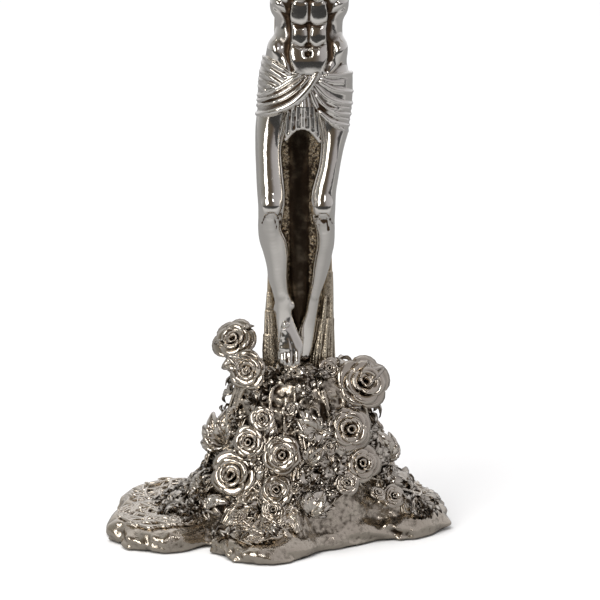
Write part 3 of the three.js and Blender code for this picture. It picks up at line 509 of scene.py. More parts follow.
# The hanging end: pleats in a shallow bow, with a rolled hem arched at its foot.
for i, x0 in enumerate((-5.9, -3.6, -1.1, 1.4, 4, 6.4, 8.4)):
    foot = 204.4 - 0.075 * (x0 - 1) ** 2
    bow = -29 + 0.05 * (x0 - 1.2) ** 2
    cloth.roll([[x0 * 0.5 + 1, bow, 222], [x0 * 0.85 + 0.2, bow - 0.6, 214], [x0, bow + 0.3, foot]],
               [0.7, 1.15 + 0.2 * (i % 2), 1.3], 0.6)
arch = [[t, -28.7 + 0.045 * (t - 1.2) ** 2, 204.2 - 0.1 * (t - 1) ** 2] for t in np.linspace(-6.6, 9.2, 14)]
cloth.roll(arch, 0.85, 0.4)
spots, quads = cloth.pour()
cast("loincloth", spots, [quads], silver("silver cloth", starts=0.02, full=0.42, mottle=0.3, rough=0.12),
     ["loincloth"], broad=0.8)

# ------------------------------------------------------------------ the arms
# Each arm is its own casting, pinned on at the shoulder. The hands are nailed through the palms to
# the crossbeam and their fingers curl.
hand_out, crossing = 93.0, 350.9
for side, shoulder_x, arm_node in ((-1, -16.6, "corpus_right_arm"), (1, 21.9, "corpus_left_arm")):
    root, palm = np.array([shoulder_x, -16.8, 291.4]), np.array([side * hand_out, -7.0, crossing])
    run = (palm - root) / np.linalg.norm(palm - root)
    across = np.cross([0, -1.0, 0], run)
    across /= np.linalg.norm(across)
    if across[2] < 0:
        across = -across
    long = np.linalg.norm(palm - root)
    deep = np.cross(run, across)

    def spot(along, up, out):
        """A point from its share of the arm, height across it and distance to the front."""
        front = -deep if deep[1] > 0 else deep
        return root + run * along * long + across * up + front * out

    low = np.minimum(root, palm) - [12, 10, 12]
    high = np.maximum(root, palm) + [12, 10, 14]
    high[1] = beam_face
    arm = Wax(low, high, 0.42)
    rows = [[-9, 0, 7, 7, 7], [-3, 0.2, 8.4, 7.6, 7.6], [5, 0.4, 8.3, 7.8, 7.4], [13, 0.4, 7, 6.8, 6.6],
            [21, -0.1, 5.9, 6, 6], [30, -0.4, 5.4, 5.6, 5.6], [38, -0.5, 4.8, 5, 5],
            [44, -0.4, 4.3, 4.5, 4.4],
            [49, -0.3, 4.6, 4.6, 4.2], [55, 0, 5.1, 4.5, 4.2], [62, 0.2, 4.8, 4.1, 3.8],
            [70, 0.1, 4, 3.4, 3.2],
            [78, 0, 3.2, 2.8, 2.6], [85, 0, 2.8, 2.3, 2.2], [88.6, 0, 2.9, 2.2, 2.1], [93, 0, 3.7, 2, 2],
            [97, 0, 4.5, 1.9, 1.9], [101, 0, 4.4, 1.7, 1.8]]
    if deep[1] < 0:
        rows = [[s, c, h, b, f] for s, c, h, f, b in rows]
    arm.limb([[s * long / 97, c, 0, h, f, b] for s, c, h, f, b in rows], frame=(root, across, run),
             power=2.15)
    # Muscles, elbow and the cords of the wrist.
    slant = side * -38
    arm.ball(spot(0.1, 3.2, 3), [6.5, 4, 5.4], 3, turn=slant)
    arm.ball(spot(0.26, 1.4, 3.2), [7.4, 3, 3.6], 2.6, turn=slant)
    arm.ball(spot(0.27, -2.8, 1.6), [7.6, 3.4, 3], 2.6, turn=slant)
    arm.ball(spot(0.575, 1.4, 2), [6.4, 2.8, 3.2], 2.4, turn=slant)
    arm.ball(spot(0.47, -3.2, -1), [2.2, 2, 1.8], 1.8)
    arm.roll([spot(0.17, 4.6, 4.4), spot(0.25, 0, 6), spot(0.36, -3, 4.6)], 0.5, 1.6, cut=True)
    arm.roll([spot(0.5, 0.4, 4.6), spot(0.62, -1, 4.4), spot(0.78, -0.6, 3)], 0.45, 1.4, cut=True)
    for lift in (-0.9, 0.8):
        arm.roll([spot(0.76, lift, 2.5), spot(0.9, lift * 0.8, 2.1)], 0.42, 1.0)
    # Palm, ball of the thumb, thumb and fingers.
    arm.ball(spot(1.0, -2.4, 1.3), [2.6, 1.6, 2], 1.4)
    arm.ball(spot(0.985, 2.6, 1.2), [3, 1.4, 1.6], 1.4, turn=slant)
    arm.roll([spot(0.965, 3, 1), spot(1.01, 6, 2), spot(1.035, 7.2, 3.6), spot(1.05, 6.4, 5)],
             [1.5, 1.25, 1.1, 0.95], 0.8)
    for k, (up, length, thick) in enumerate(((3.3, 0.93, 1.16), (1.15, 1.0, 1.2), (-1.1, 0.95, 1.15),
                                             (-3.1, 0.8, 1.0))):
        curl = 1 + 0.12 * k
        arm.roll([spot(1.03, up, 0.4), spot(1.03 + 0.05 * length, up * 1.06, 0.9 * curl),
                  spot(1.03 + 0.082 * length, up * 1.04, 2.8 * curl),
                  spot(1.03 + 0.078 * length, up, 4.9 * curl),
                  spot(1.03 + 0.052 * length, up * 0.96, 6.2 * curl)],
                 np.array([1.1, 1.02, 0.98, 0.9, 0.8]) * thick, 0.3)
    spots, quads = arm.pour()
    cast(arm_node.replace("corpus", "figure"), spots, [quads], polished, [arm_node])

# ------------------------------------------------------------------ the head
# Sunk forward and to the right shoulder, with closed eyes, a short forked beard and long hair that
# falls over the join at the neck. The face is a plain, calm one in the proportions of the textbooks.
head = Wax([-15, -17, -29], [15, 16, 17], 0.3)
head.ball([0, 1.6, 4.6], [9.6, 11.8, 10.6], 2)
head.ball([0, -3.6, -3.4], [7.5, 7.6, 11.6], 3.5)
head.ball([0, -7.4, -12.4], [3.5, 3, 2.8], 2.4)
head.ball([0, 1, -14], [5.6, 6, 9], 3)
for side in (-1, 1):
    head.roll([[side * 1.2, -10.4, 2.5], [side * 3.6, -10.5, 3.3], [side * 6.2, -8.4, 2.4]], [0.8, 0.9, 0.7],
              1.4)
    head.ball([side * 3.7, -11.6, 0.5], [2.5, 2.2, 1.7], 1.4, cut=True)
    head.ball([side * 3.6, -8.7, 0.3], [2, 1.7, 1.45], 0.4)
    head.roll([[side * 1.9, -9.9, 0], [side * 3.6, -10.6, -0.6], [side * 5.5, -9.4, 0.1]], 0.18, 0.3,
              cut=True)
    head.ball([side * 5, -7.6, -2.8], [2.6, 2.2, 1.9], 2, turn=side * 20)
    head.ball([side * 1.25, -11.9, -4], [0.95, 1.1, 0.85], 0.7)
    head.ball([side * 5, -8.4, -6.6], [1.8, 1.6, 2.4], 1.6, cut=True)
head.roll([[0, -10.2, 2.2], [0, -11.4, 0], [0, -12.8, -3.2], [0, -12.9, -4]], [0.75, 0.75, 1.05, 1.1], 1)
head.roll([[-2.7, -10.6, -7.4], [-1.2, -11.6, -7.1], [0, -11.8, -7.3], [1.2, -11.6, -7.1],
           [2.7, -10.6, -7.4]], 0.2, 0.5, cut=True)
head.roll([[-1.9, -11.2, -6.6], [0, -11.8, -6.3], [1.9, -11.2, -6.6]], 0.42, 0.5)
head.roll([[-1.5, -11.2, -8.2], [0, -11.7, -8.4], [1.5, -11.2, -8.2]], 0.55, 0.5)
head.ball([0, -8.4, -14.6], [4.4, 3.6, 5], 2)
dice = np.random.default_rng(7)
for side in (-1, 1):
    for k in range(3):
        head.roll([[side * (0.5 + 0.5 * k), -12, -5.6], [side * (2.2 + 0.4 * k), -11.4, -6.3 - 0.3 * k],
                   [side * (3.8 + 0.3 * k), -9.8, -8.6 - 0.5 * k], [side * (4.2 + 0.2 * k), -8.6, -10.6]],
                  [0.35, 0.5, 0.45, 0.3], 0.3)
    # The beard: strands laid from the cheeks to a forked tip, with grooves between.
    strands = []
    for k in range(8):
        x0, x1 = 6.6 - 0.92 * k, 3.9 - 0.5 * k
        strands.append(head.lay([[side * x0, -7.6 - 0.62 * k + 0.055 * k * k],
                                 [side * (x0 * 0.8 + 0.3), -12.2 - 0.1 * k],
                                 [side * (x1 * 0.72 + 0.7), -16.2],
                                 [side * (x1 * 0.35 + 1), -19.6 + 0.1 * k]], 0.1, 0.6))
    for k, strand in enumerate(strands):
        sway = 0.3 * np.sin(np.linspace(0, 7, len(strand)) + k)
        strand[:, 0] += sway
        head.roll(strand, np.linspace(0.45, 0.75,
                                      len(strand)) * (1 - 0.5 * np.linspace(0, 1, len(strand)) ** 4), 0.25)
    for k in range(7):
        between = (strands[k][:: 2][: len(strands[k + 1][:: 2])]
                   + strands[k + 1][:: 2][: len(strands[k][:: 2])]) / 2
        head.roll(between + [0, -0.45, 0], 0.2, 0.25, cut=True)
    # Hair in locks, parted in the middle, over the ears and on to the shoulders.
    for row in range(9):
        back = -8 + 2.5 * row
        wave = dice.uniform(-0.5, 0.5, 2)
        round_to = math.sqrt(max(1 - ((back - 1.6) / 12.4) ** 2, 0.08))
        path = []
        for step, angle in enumerate(np.linspace(0.06, 1.75, 9)):
            path.append([side * (10.2 * round_to + 0.9) * math.sin(angle),
                         back + (1.6 - back) * 0.02 * step + wave[0] * math.sin(2 * angle),
                         4.6 + (11 * round_to + 0.6) * math.cos(angle)])
        tail = path[-1]
        for drop in (5, 10, 15.5, 21.5, 26.5):
            path.append([tail[0] + side * (0.6 * math.sin(drop * 0.6 + row) - 0.14 * drop),
                         tail[1] + 0.18 * drop * (1 - row / 8) + 0.1 * drop, tail[2] - drop])
        for offset, thick in ((0, 1.15), (1.25, 0.8)):
            shifted = [[px, py + offset + 0.3 * math.sin(1.7 * i + row), pz] for i,
                       (px, py, pz) in enumerate(path)]
            head.roll(shifted, [0.6 * thick] + [thick] * (len(path) - 3) + [0.8 * thick, 0.4 * thick], 0.5)
spots, quads = head.pour()
nod = (Matrix.Rotation(math.radians(-13), 3, "Y") @ Matrix.Rotation(math.radians(-24), 3, "Z")
       @ Matrix.Rotation(math.radians(24), 3, "X"))
neck = np.array([-5.4, -24.6, 315.6])
cast("head", spots @ np.array(nod).T + neck, [quads],
     silver("silver hair", starts=0.12, full=0.55, mottle=0.2, rough=0.13), rounds=2)

# ------------------------------------------------------------------ the crown of thorns
# Three briars twisted together, with a thorn at every ninth joint, cast and pushed on over the hair.
briars = bpy.data.meshes.new("briars")
turns, joints = 3, 150
angle = np.linspace(0, 2 * math.pi, joints, endpoint=False)
wound = []
for strand in range(turns):
    twist = 9 * angle + strand * 2 * math.pi / turns
    radius = 11.4 + 1.0 * np.cos(twist)
    wound.append(np.column_stack([radius * np.sin(angle), 1.2 - 1.1 * radius * np.cos(angle),
                                  6.8 + 1.0 * np.sin(twist)]))
ring_spots = (np.concatenate(wound) @ np.array(nod).T + neck) / 1000
links_of = [(s * joints + i, s * joints + (i + 1) % joints) for s in range(turns) for i in range(joints)]
briars.from_pydata(ring_spots.tolist(), links_of, [])
out = np.concatenate([np.column_stack([np.sin(angle), -np.cos(angle),
                                       0.6 * np.sin(5 * angle + s)]) for s in range(turns)])
facing = briars.attributes.new("thorn way", "FLOAT_VECTOR", "POINT")
facing.data.foreach_set("vector", (out @ np.array(nod).T).astype(np.float32).ravel())


def new_tree(name, inputs):
    """A node tree from a mesh and named inputs to a mesh, and what it is given."""
    tree = bpy.data.node_groups.new(name, "GeometryNodeTree")
    for label, kind in (("Geometry", "Geometry"), *inputs):
        tree.interface.new_socket(label, in_out="INPUT", socket_type="NodeSocket" + kind)
    tree.interface.new_socket("Geometry", in_out="OUTPUT", socket_type="NodeSocketGeometry")
    return tree, node(tree, "NodeGroupInput").outputs


def plate(tree, shape, material):
    """Ends a node tree: everything made real and the material set."""
    apart = node(tree, "GeometryNodeRealizeInstances", {"Geometry": shape})
    plated = node(tree, "GeometryNodeSetMaterial", {"Geometry": apart.outputs[0], "Material": material})
    node(tree, "NodeGroupOutput", {0: plated.outputs[0]})


def grown(name, start, tree, settings, rounds=3, stands_for=()):
    """A piece that a node tree makes from a mesh, kept as plain mesh data and riding on the object."""
    piece = bpy.data.objects.new(name, start)
    bpy.context.scene.collection.objects.link(piece)
    modifier = piece.modifiers.new(tree.name, "NODES")
    modifier.node_group = tree
    sockets = {item.name: item.identifier for item in tree.interface.items_tree if item.in_out == "INPUT"}
    for label, value in settings.items():
        modifier[sockets[label]] = value
    seen = piece.evaluated_get(bpy.context.evaluated_depsgraph_get())
    mesh = bpy.data.meshes.new_from_object(seen)
    piece.modifiers.clear()
    piece.data = mesh
    mesh.polygons.foreach_set("use_smooth", np.ones(len(mesh.polygons), bool))
    hollows(mesh, rounds)
    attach(piece, "root")
    if stands_for:
        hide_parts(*stands_for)
    return piece


grow, given = new_tree("briars and thorns",
                       (("Briar radius", "Float"), ("Thorn length", "Float"), ("Every", "Int"),
                                             ("Seed", "Int"), ("Silver", "Material")))
to_curve = node(grow, "GeometryNodeMeshToCurve", {"Mesh": given["Geometry"]})
round_bar = node(grow, "GeometryNodeCurvePrimitiveCircle", {"Resolution": 7, "Radius": given["Briar radius"]})
tube = node(grow, "GeometryNodeCurveToMesh",
            {"Curve": to_curve.outputs[0], "Profile Curve": round_bar.outputs[0]})
spike = node(grow, "GeometryNodeMeshCone", {"Vertices": 7, "Radius Top": 0.00004, "Radius Bottom": 0.0005,
                                            "Depth": given["Thorn length"]})
count = node(grow, "GeometryNodeInputIndex")
rest = node(grow, "FunctionNodeIntegerMath", {0: count.outputs[0], 1: given["Every"]}, operation="MODULO")
chosen = node(grow, "FunctionNodeCompare", {2: rest.outputs[0], 3: 0}, data_type="INT", operation="EQUAL")
way_out = node(grow, "GeometryNodeInputNamedAttribute", {"Name": "thorn way"}, data_type="FLOAT_VECTOR")
jitter = node(grow, "FunctionNodeRandomValue",
              {"Min": (-0.7, -0.7, -0.7), "Max": (0.7, 0.7, 0.7), "Seed": given["Seed"]},
              data_type="FLOAT_VECTOR")
aimed = node(grow, "ShaderNodeVectorMath", {0: way_out.outputs[0], 1: jitter.outputs[0]}, operation="ADD")
turned_out = node(grow, "FunctionNodeAlignRotationToVector", {"Vector": aimed.outputs[0]}, axis="Z")
thorns = node(grow, "GeometryNodeInstanceOnPoints",
              {"Points": given["Geometry"], "Selection": chosen.outputs[0],
                                                     "Instance": spike.outputs[0],
               "Rotation": turned_out.outputs[0]})
both = node(grow, "GeometryNodeJoinGeometry", {0: tube.outputs[0]})
grow.links.new(thorns.outputs[0], both.inputs[0])
plate(grow, both.outputs[0], given["Silver"])
dark_silver = silver("old silver", bright=(0.66, 0.62, 0.56), starts=0.0, full=0.42, mottle=0.4, rough=0.16)
grown("crown_of_briars", briars, grow,
      {"Briar radius": 0.00072, "Thorn length": 0.0042, "Every": 9, "Seed": 4,
                                        "Silver": dark_silver}, stands_for=["crown_of_thorns"])

# ------------------------------------------------------------------ the cross
# Two flat beams, half-lapped and riveted at the crossing, that widen to their ends. Each face has a
# polished rim round a matted panel, with a low polished ridge down its middle.
matted = silver("matted silver", bright=(0.66, 0.55, 0.40), dark=(0.052, 0.036, 0.024), rough=0.13,
                rough_dark=0.24,
                starts=0.02, full=0.36, mottle=0.55, grain=1.0, grain_size=760, grain_dark=1.3,
                only_where="matting")


# Reach of the arms, of the post above and below the crossing, and half widths at the ends and the waist.
arm_reach, top_reach, foot_reach, end_half, foot_half, waist_half = 110, 66, 275.3, 15.5, 18, 11
# Half the beams' thickness and of the lap, where the lap splits it, and how far the edges are eased.
beam_thick, lap_half, lap_face, ease = 4, 11.3, 0.15, 0.7


def beam_half(away, reach, at_end):
    return waist_half + (at_end - waist_half) * np.clip(np.abs(away) / reach, 0, 1.1) ** 1.66


def half_width(beam, away):
    """Half the width of a beam at a distance along it from the crossing."""
    if beam == "cross_arms":
        return beam_half(away, arm_reach, end_half)
    return np.where(away < 0, beam_half(away, foot_reach, foot_half), beam_half(away, top_reach, end_half))


for beam, low, high, stands_in in (("cross_post", [-19, -5, 75.2], [19, 5, 417.6], "cross_upright"),
                                   ("cross_arms", [-110.8, -5, crossing - 17], [110.8, 5, crossing + 17],
                                    "crossbeam")):
    slab = Wax(low, high, 0.6)
    where, (x, y, z) = slab.part(low, high)
    if beam == "cross_post":
        along, side = z - crossing, x
        past_end = np.maximum(along - top_reach, -foot_reach - along)
        lap = np.maximum(np.abs(along) - lap_half, y - lap_face) + 0 * x
        through = (np.abs(along) < 9.2) & (np.abs(side) < 12)
    else:
        along, side = x, z - crossing
        past_end = np.abs(along) - arm_reach
        lap = np.maximum(np.abs(along) - lap_half, -lap_face - y) + 0 * z
        through = (np.abs(along) < 11.6) & (np.abs(side) < 9.2)
    outline = np.maximum(np.abs(side) - half_width(beam, along), past_end)
    d0, d1 = outline + ease + 0 * y, np.abs(y) - beam_thick + ease
    flat = np.hypot(np.maximum(d0, 0), np.maximum(d1, 0)) + np.minimum(np.maximum(d0, d1), 0) - ease
    # The panels sink 0.9 mm on the front and the back, and the ridge stands in them.
    inside = np.where(through, -4, outline + 2.0)
    sunk = 0.9 - 0.75 * np.clip(1 - np.abs(side + 0.4) / 4.8, 0, 1) ** 0.7 * np.clip((-outline - 5) / 3, 0, 1)
    panel = np.maximum(inside, beam_thick - sunk - np.abs(y)) + 0 * z
    slab.press(where, flat.astype(np.float32), 0.1)
    slab.press(where, panel.astype(np.float32), 0.5, cut=True)
    slab.press(where, lap.astype(np.float32), 0.1, cut=True)
    spots, quads = slab.pour()
    piece = cast(beam, spots, [quads], matted, [stands_in], rounds=2)
    # Only the bed of the panel is matted. The panel is darkened for its patina; the ridge is darkened more, a
    # painted reflection of the dark room in front that the smooth ridge mirrors.
    away, off = spots[:, 2] - crossing, spots[:, 0]
    if beam == "cross_arms":
        away, off = off, away
    in_panel = np.clip((half_width(beam, away) - 2.2 - np.abs(off)) / 0.6, 0, 1) * (np.abs(spots[:, 1]) > 2.2)
    on_ridge = np.clip((5.0 - np.abs(off + 0.4)) / 0.7, 0, 1) * in_panel
    layer = piece.data.attributes.new("matting", "FLOAT", "POINT")
    layer.data.foreach_set("value", (in_panel * (1 - on_ridge)).astype(np.float32))
    # Patina in the panel, and painted reflection on the ridge.
    add_patina_and_shade(piece, 0.17 * in_panel + 0.17 * on_ridge)

# ------------------------------------------------------------------ the wedges at the foot
# Two rough split wedges that hold the post upright in the rock, cast with the grain of the wood.
bark = silver("bark", bright=(0.66, 0.58, 0.46), dark=(0.07, 0.05, 0.034), rough=0.17, rough_dark=0.4,
              starts=-0.22,
              full=0.36, mottle=0.4, grain=0.9, grain_size=1100, grain_dark=0.7)
dice = np.random.default_rng(12)
for name, rows in (
        ("wedge_left", [[84, -14.2, -5, 4, 3.6, 0.6], [92, -14.2, -5, 3.9, 3.4, 0.6],
                        [100, -14.4, -5, 3.3, 2.8, 0.6],
                        [112, -14.8, -5, 2.3, 1.9, 0.6], [121, -15.2, -5, 1.2, 1.0, 0.5]]),
        ("wedge_right", [[84, 11, -5, 6.4, 4.6, 0.6], [90, 11.2, -5, 5.9, 4.4, 0.6],
                         [98, 11.8, -5, 4.7, 3.8, 0.6],
                         [108, 12.7, -5, 3.8, 3, 0.6], [119, 13.6, -5, 2.9, 2.2, 0.6],
                         [131, 14.6, -5, 1.6, 1.2, 0.5]])):
    wedge = Wax([-21, -13, 83], [20, beam_face, 134], 0.42)
    wedge.limb(rows, power=2.6)
    for k in range(9):
        share = -0.95 + 0.24 * k
        length = dice.uniform(0.55, 1.0)
        line = []
        for z0, middle, _, half, front, _ in rows:
            if z0 <= 84 + length * (rows[-1][0] - 84):
                line.append([middle + share * half + dice.uniform(-0.35, 0.35),
                             -5 - front * (1 - abs(share) ** 2.6) ** 0.38 + dice.uniform(-0.2, 0.3), z0])
        if len(line) > 1:
            wedge.roll(line, dice.uniform(0.5, 0.95), 0.35)
    spots, quads = wedge.pour()
    cast(name, spots, [quads], bark, ["foot_" + name], rounds=1)

# ------------------------------------------------------------------ the rock and its mound
# The base is one hollow casting: a slab of rounded lobes with a mound of earth and grass on it, and
# a tuft on the left shoulder that carries two blooms. Its lip was left smooth and rubbed bright.
lobes = [(-66, -12, 29, 31), (-60, 25, 32, 32), (-16, -33, 27, 28), (44, 4, 30, 28), (42, 28, 31, 32),
         (-8, 29, 40, 32), (0, 0, 47, 42)]
slab_foot, slab_top, mound_top = 1.8, 11.8, 86.3
lip_round, foot_round, foot_inset = 5.4, 1.2, 4.2
hill_reach, hill_back, hill_flat = 70, 4, 0.85
hill_line = np.array([(0, 1), (0.2, 0.99), (0.31, 0.964), (0.385, 0.912), (0.435, 0.838), (0.47, 0.73),
                      (0.52, 0.565),
                      (0.57, 0.415), (0.64, 0.258), (0.74, 0.128), (0.87, 0.03), (1, -0.03), (1.6, -0.12)])


def hill_high(share):
    return slab_top + (mound_top - slab_top) * np.interp(share, hill_line[:, 0], hill_line[:, 1])


def lobe_edge(x, y, soft=5.0):
    """How far a spot lies outside the rock's outline, its lobes run together."""
    edge = None
    for mx, my, rx, ry in lobes:
        g = np.hypot((x - mx) / rx, (y - my) / ry)
        far = (g - 1) * min(rx, ry)
        if edge is None:
            edge = far
        else:
            ease = np.maximum(soft - np.abs(edge - far), 0) ** 2 / (4 * soft)
            edge = np.minimum(edge, far) - ease
    return edge


def ripple(x, y, z, size, seed):
    """A smooth unevenness between about -1 and 1."""
    waves = np.random.default_rng(seed)
    total = 0
    for _ in range(5):
        way = waves.normal(size=3)
        way *= 2 * math.pi / size / np.linalg.norm(way) * waves.uniform(0.7, 1.5)
        total = total + np.sin(way[0] * x + way[1] * y + way[2] * z + waves.uniform(0, 6.28))
    return total / 2.6


rock_low, rock_high = [-97, -63, 0.4], [80, 64, 101]
rock = Wax(rock_low, rock_high, 0.91)
where, (x, y, z) = rock.part(rock_low, rock_high)
edge = lobe_edge(x, y)
uneven = ripple(x, y, z, 17, 3)
# The slab: a thick rounded lip that rises and falls, with a shallow dip behind it, brought down
# over the edge of the felt.
lift = 1.5 * ripple(x, y, 0 * x, 30, 5) - 2.4 * np.clip((edge + 11) / 11, 0, 1) ** 1.4
crown_of_lip = slab_top - 0.4 + lift - 1.2 * np.exp(-((edge + 9) / 4) ** 2)
foot = np.where(edge > -2.3, 0.5, slab_foot)
d0 = edge + 5.0 + 1.3 * uneven + 0.9 * ripple(x, y, z, 8, 9)
upper = z - crown_of_lip + lip_round
lower = foot + foot_round - z


def rounded(a, b, radius):
    """Where two faces meet, with their edge rounded."""
    return np.hypot(np.maximum(a, 0), np.maximum(b, 0)) + np.minimum(np.maximum(a, b), 0) - radius


slab = np.maximum(rounded(d0, upper, lip_round), rounded(d0 - foot_inset, lower, foot_round))
rock.press(where, slab.astype(np.float32), 0.1)
# The mound, lumpy as turned earth.
out = np.hypot(x, (y - hill_back) / hill_flat) / hill_reach
level = hill_high(out)
steep = (hill_high(out + 0.02) - hill_high(out - 0.02)) / (0.04 * hill_reach)
mound = (z - level) / np.sqrt(1 + steep ** 2) - 0.9 * ripple(x, y, z, 9, 21) - 0.5 * ripple(x, y, z, 4.6, 22)
bound = edge + 4.8 + 0.16 * np.clip(z - slab_top, 0, 30)
mound = np.maximum(mound, bound) + np.maximum(9 - np.abs(mound - bound), 0) ** 2 / 36
rock.press(where, np.clip(mound, -6, 9).astype(np.float32), 3)
rock.limb([[46, -17, 6, 11, 9, 9], [60, -19.4, 4, 10.4, 9, 9], [72, -22.6, 2.4, 9.4, 8.5, 8.5],
           [82, -26, 0.6, 7.6, 7, 7],
           [92, -29.4, 0.4, 5, 4.8, 4.8], [95.6, -31, 0.2, 2.6, 2.6, 2.6]], 3)
dice = np.random.default_rng(31)


def on_hill(bearing, share, lift=0.0):
    """A spot on the mound: its bearing from the front in radians, share of the way out, height off it."""
    rise = (hill_high(share + 0.02) - hill_high(share - 0.02)) / (0.04 * hill_reach)
    facing = np.array([math.sin(bearing), -math.cos(bearing) / hill_flat, 0])
    facing /= np.linalg.norm(facing)
    tilt = math.atan2(1, -rise)
    facing = facing * math.cos(tilt) + np.array([0, 0, math.sin(tilt)])
    r = share * hill_reach
    spot = np.array([r * math.sin(bearing), hill_back - r * hill_flat * math.cos(bearing), hill_high(share)])
    edge_here = lobe_edge(spot[0], spot[1])
    if edge_here > -9 and share > 0.8:
        spot[2] = min(spot[2], slab_top - 1 - max(edge_here + 9, 0) * 0.3)
    return spot + facing * lift, facing


# Coarse roots and clods run down the mound and out over the slab.
for _ in range(330):
    bearing, share = dice.uniform(-math.pi, math.pi), dice.uniform(0.36, 0.98) ** 0.9
    length, drift = dice.uniform(0.05, 0.14), dice.normal(0, 0.1)
    line = []
    for t in np.linspace(0, 1, 5):
        here = share + length * t
        spot, _ = on_hill(bearing + drift * t, min(here, 1.15), 0.2 + 0.9 * math.sin(math.pi * t))
        if lobe_edge(spot[0], spot[1]) < -7.5:
            line.append(spot)
    if len(line) > 2:
        rock.roll(line, np.linspace(1.25, 0.5, len(line)) * dice.uniform(0.7, 1.25), 0.8)
# The blooms on the front and sides: name, bearing, share of the way out, radius, lean. Each is plugged
# into a boss of earth.
bloom_list = [
    ("rose_shoulder_right", 73, 0.43, 10.2, 12), ("rose_under_feet", 38, 0.31, 4, -35),
    ("rose_upper_right", 39, 0.515, 8.6, 8), ("rose_middle_right", 43, 0.595, 7.2, 0),
    ("rose_low_right", 29, 0.645, 4.5, 5), ("rose_skirt_right", 58, 0.755, 4.5, 0),
    ("rose_upper_left", -30, 0.49, 4.9, 0), ("rose_middle_left", -38.5, 0.54, 6.2, 0),
    ("rose_heart", -12, 0.56, 7.1, 0), ("rose_great_left", -45, 0.63, 9, -4),
    ("rose_low_middle", -13.5, 0.675, 6.1, 22), ("rose_skirt_middle", -13.5, 0.765, 4.4, -4),
    ("rosebud_side_left", -89, 0.62, 4, 0), ("rose_skirt_left", -84, 0.9, 4.4, -14),
    ("rose_back_high", 165, 0.5, 7, 0), ("rose_back_low", -160, 0.62, 6.2, 0),
]
seats_taken = np.array([on_hill(math.radians(bearing), share)[0] for _, bearing, share, _, _ in bloom_list])
room_taken = np.array([radius for *_, radius, _ in bloom_list])
for seat, room in zip(seats_taken, room_taken):
    inward = np.array([-seat[0], hill_back - seat[1], -6.0])
    inward /= np.linalg.norm(inward)
    rock.ball(seat + inward * room * 0.45, [room * 0.7] * 3, 3)
spots, quads = rock.pour()
earth = silver("silver earth", bright=(0.66, 0.59, 0.50), dark=(0.05, 0.034, 0.022), rough=0.17,
               rough_dark=0.42,
               starts=-0.12, full=0.34, mottle=0.38, grain=0.75, grain_size=520, grain_dark=0.8)
base = cast("rock", spots, [quads], earth, ["rock_base"], rounds=2, broad=0.6)
# The lip is worn bright and the earth behind it is blacker.
rim = np.clip((lobe_edge(spots[:, 0], spots[:, 1]) + 9) / 4, 0, 1)
add_patina_and_shade(base, 0.05 * (1 - rim) - 0.03 * rim)

# ------------------------------------------------------------------ grass
# Blades and rootlets cast on the mound: each is a thin tapering strand that follows the slope down
# from between the blooms, bends to one side and lifts a little at its tip.
blades = bpy.data.meshes.new("blades")
dice = np.random.default_rng(77)
bunches, lifts, thicknesses = [], [], []
joints = 7
for k in range(3900):
    # Most on the front; every sixth on the front right and every twelfth on the left.
    bearing = dice.uniform(-1.8, 1.8) if k % 4 else dice.uniform(-math.pi, math.pi)
    share = dice.uniform(0.36, 1.0) ** 0.7 if k % 3 else dice.uniform(0.85, 1.4)
    if k % 6 == 5:
        bearing, share = dice.uniform(0.05, 1.25), dice.uniform(0.5, 0.98)
    elif k % 12 == 4:
        bearing, share = dice.uniform(-1.7, -0.9), dice.uniform(0.5, 0.95)
    length = dice.uniform(0.05, 0.13) * (0.7 + 0.5 * min(share, 1))
    drift, wave = dice.normal(0, 0.2) / (0.6 + share), dice.uniform(-0.05, 0.05)
    t = np.linspace(0, 1, joints)
    line = np.array([on_hill(bearing + drift * u * u + wave * math.sin(3.1 * u), share + length * u,
                             0.5)[0] for u in t])
    line[:, 2] = np.maximum(line[:, 2], slab_top)
    stop = lobe_edge(line[:, 0], line[:, 1]) > dice.uniform(-6.5, -3) + 2 * ripple(line[:, 0], line[:, 1], 0,
                                                                                   26, 8)
    near = (np.linalg.norm(line[:, None] - seats_taken, axis=2) < room_taken * 0.95).any(1)
    good = int(np.argmax(stop | near)) if (stop | near).any() else joints
    if good < 4:
        continue
    t = t[:good] / t[good - 1]
    bunches.append(line[:good])
    lifts.append(0.25 + 0.6 * np.sin(2.6 * t) + dice.uniform(0.2, 1.7) * np.maximum(t - 0.55, 0) ** 1.5 * 2)
    thicknesses.append(dice.uniform(0.36, 0.74) * (0.45 + 1.1 * np.sin(0.4 + 2.3 * t)) * np.where(t < 0.99, 1,
                                                                                                  0.35))
blade_spots, _ = rock.settle(np.concatenate(bunches), np.concatenate(lifts))
blade_spots, blade_thick, blade_links, first = blade_spots / 1000, np.concatenate(thicknesses), [], 0
for line in bunches:
    blade_links += [(first + i, first + i + 1) for i in range(len(line) - 1)]
    first += len(line)
blades.from_pydata([tuple(s) for s in blade_spots], blade_links, [])
blades.attributes.new("blade width", "FLOAT", "POINT").data.foreach_set("value",
                                                                        np.array(blade_thick, np.float32))
drawn, given = new_tree("drawn blades", (("Sides", "Int"), ("Unit", "Float"), ("Silver", "Material")))
lines = node(drawn, "GeometryNodeMeshToCurve", {"Mesh": given["Geometry"]})
bar = node(drawn, "GeometryNodeCurvePrimitiveCircle", {"Resolution": given["Sides"], "Radius": given["Unit"]})
widths = node(drawn, "GeometryNodeInputNamedAttribute", {"Name": "blade width"}, data_type="FLOAT")
sized = node(drawn, "GeometryNodeSetCurveRadius", {"Curve": lines.outputs[0], "Radius": widths.outputs[0]})
swept = node(drawn, "GeometryNodeCurveToMesh",
             {"Curve": sized.outputs[0], "Profile Curve": bar.outputs[0], "Fill Caps": True})
if "Scale" in swept.inputs:
    drawn.links.new(widths.outputs[0], swept.inputs["Scale"])
plate(drawn, swept.outputs[0], given["Silver"])
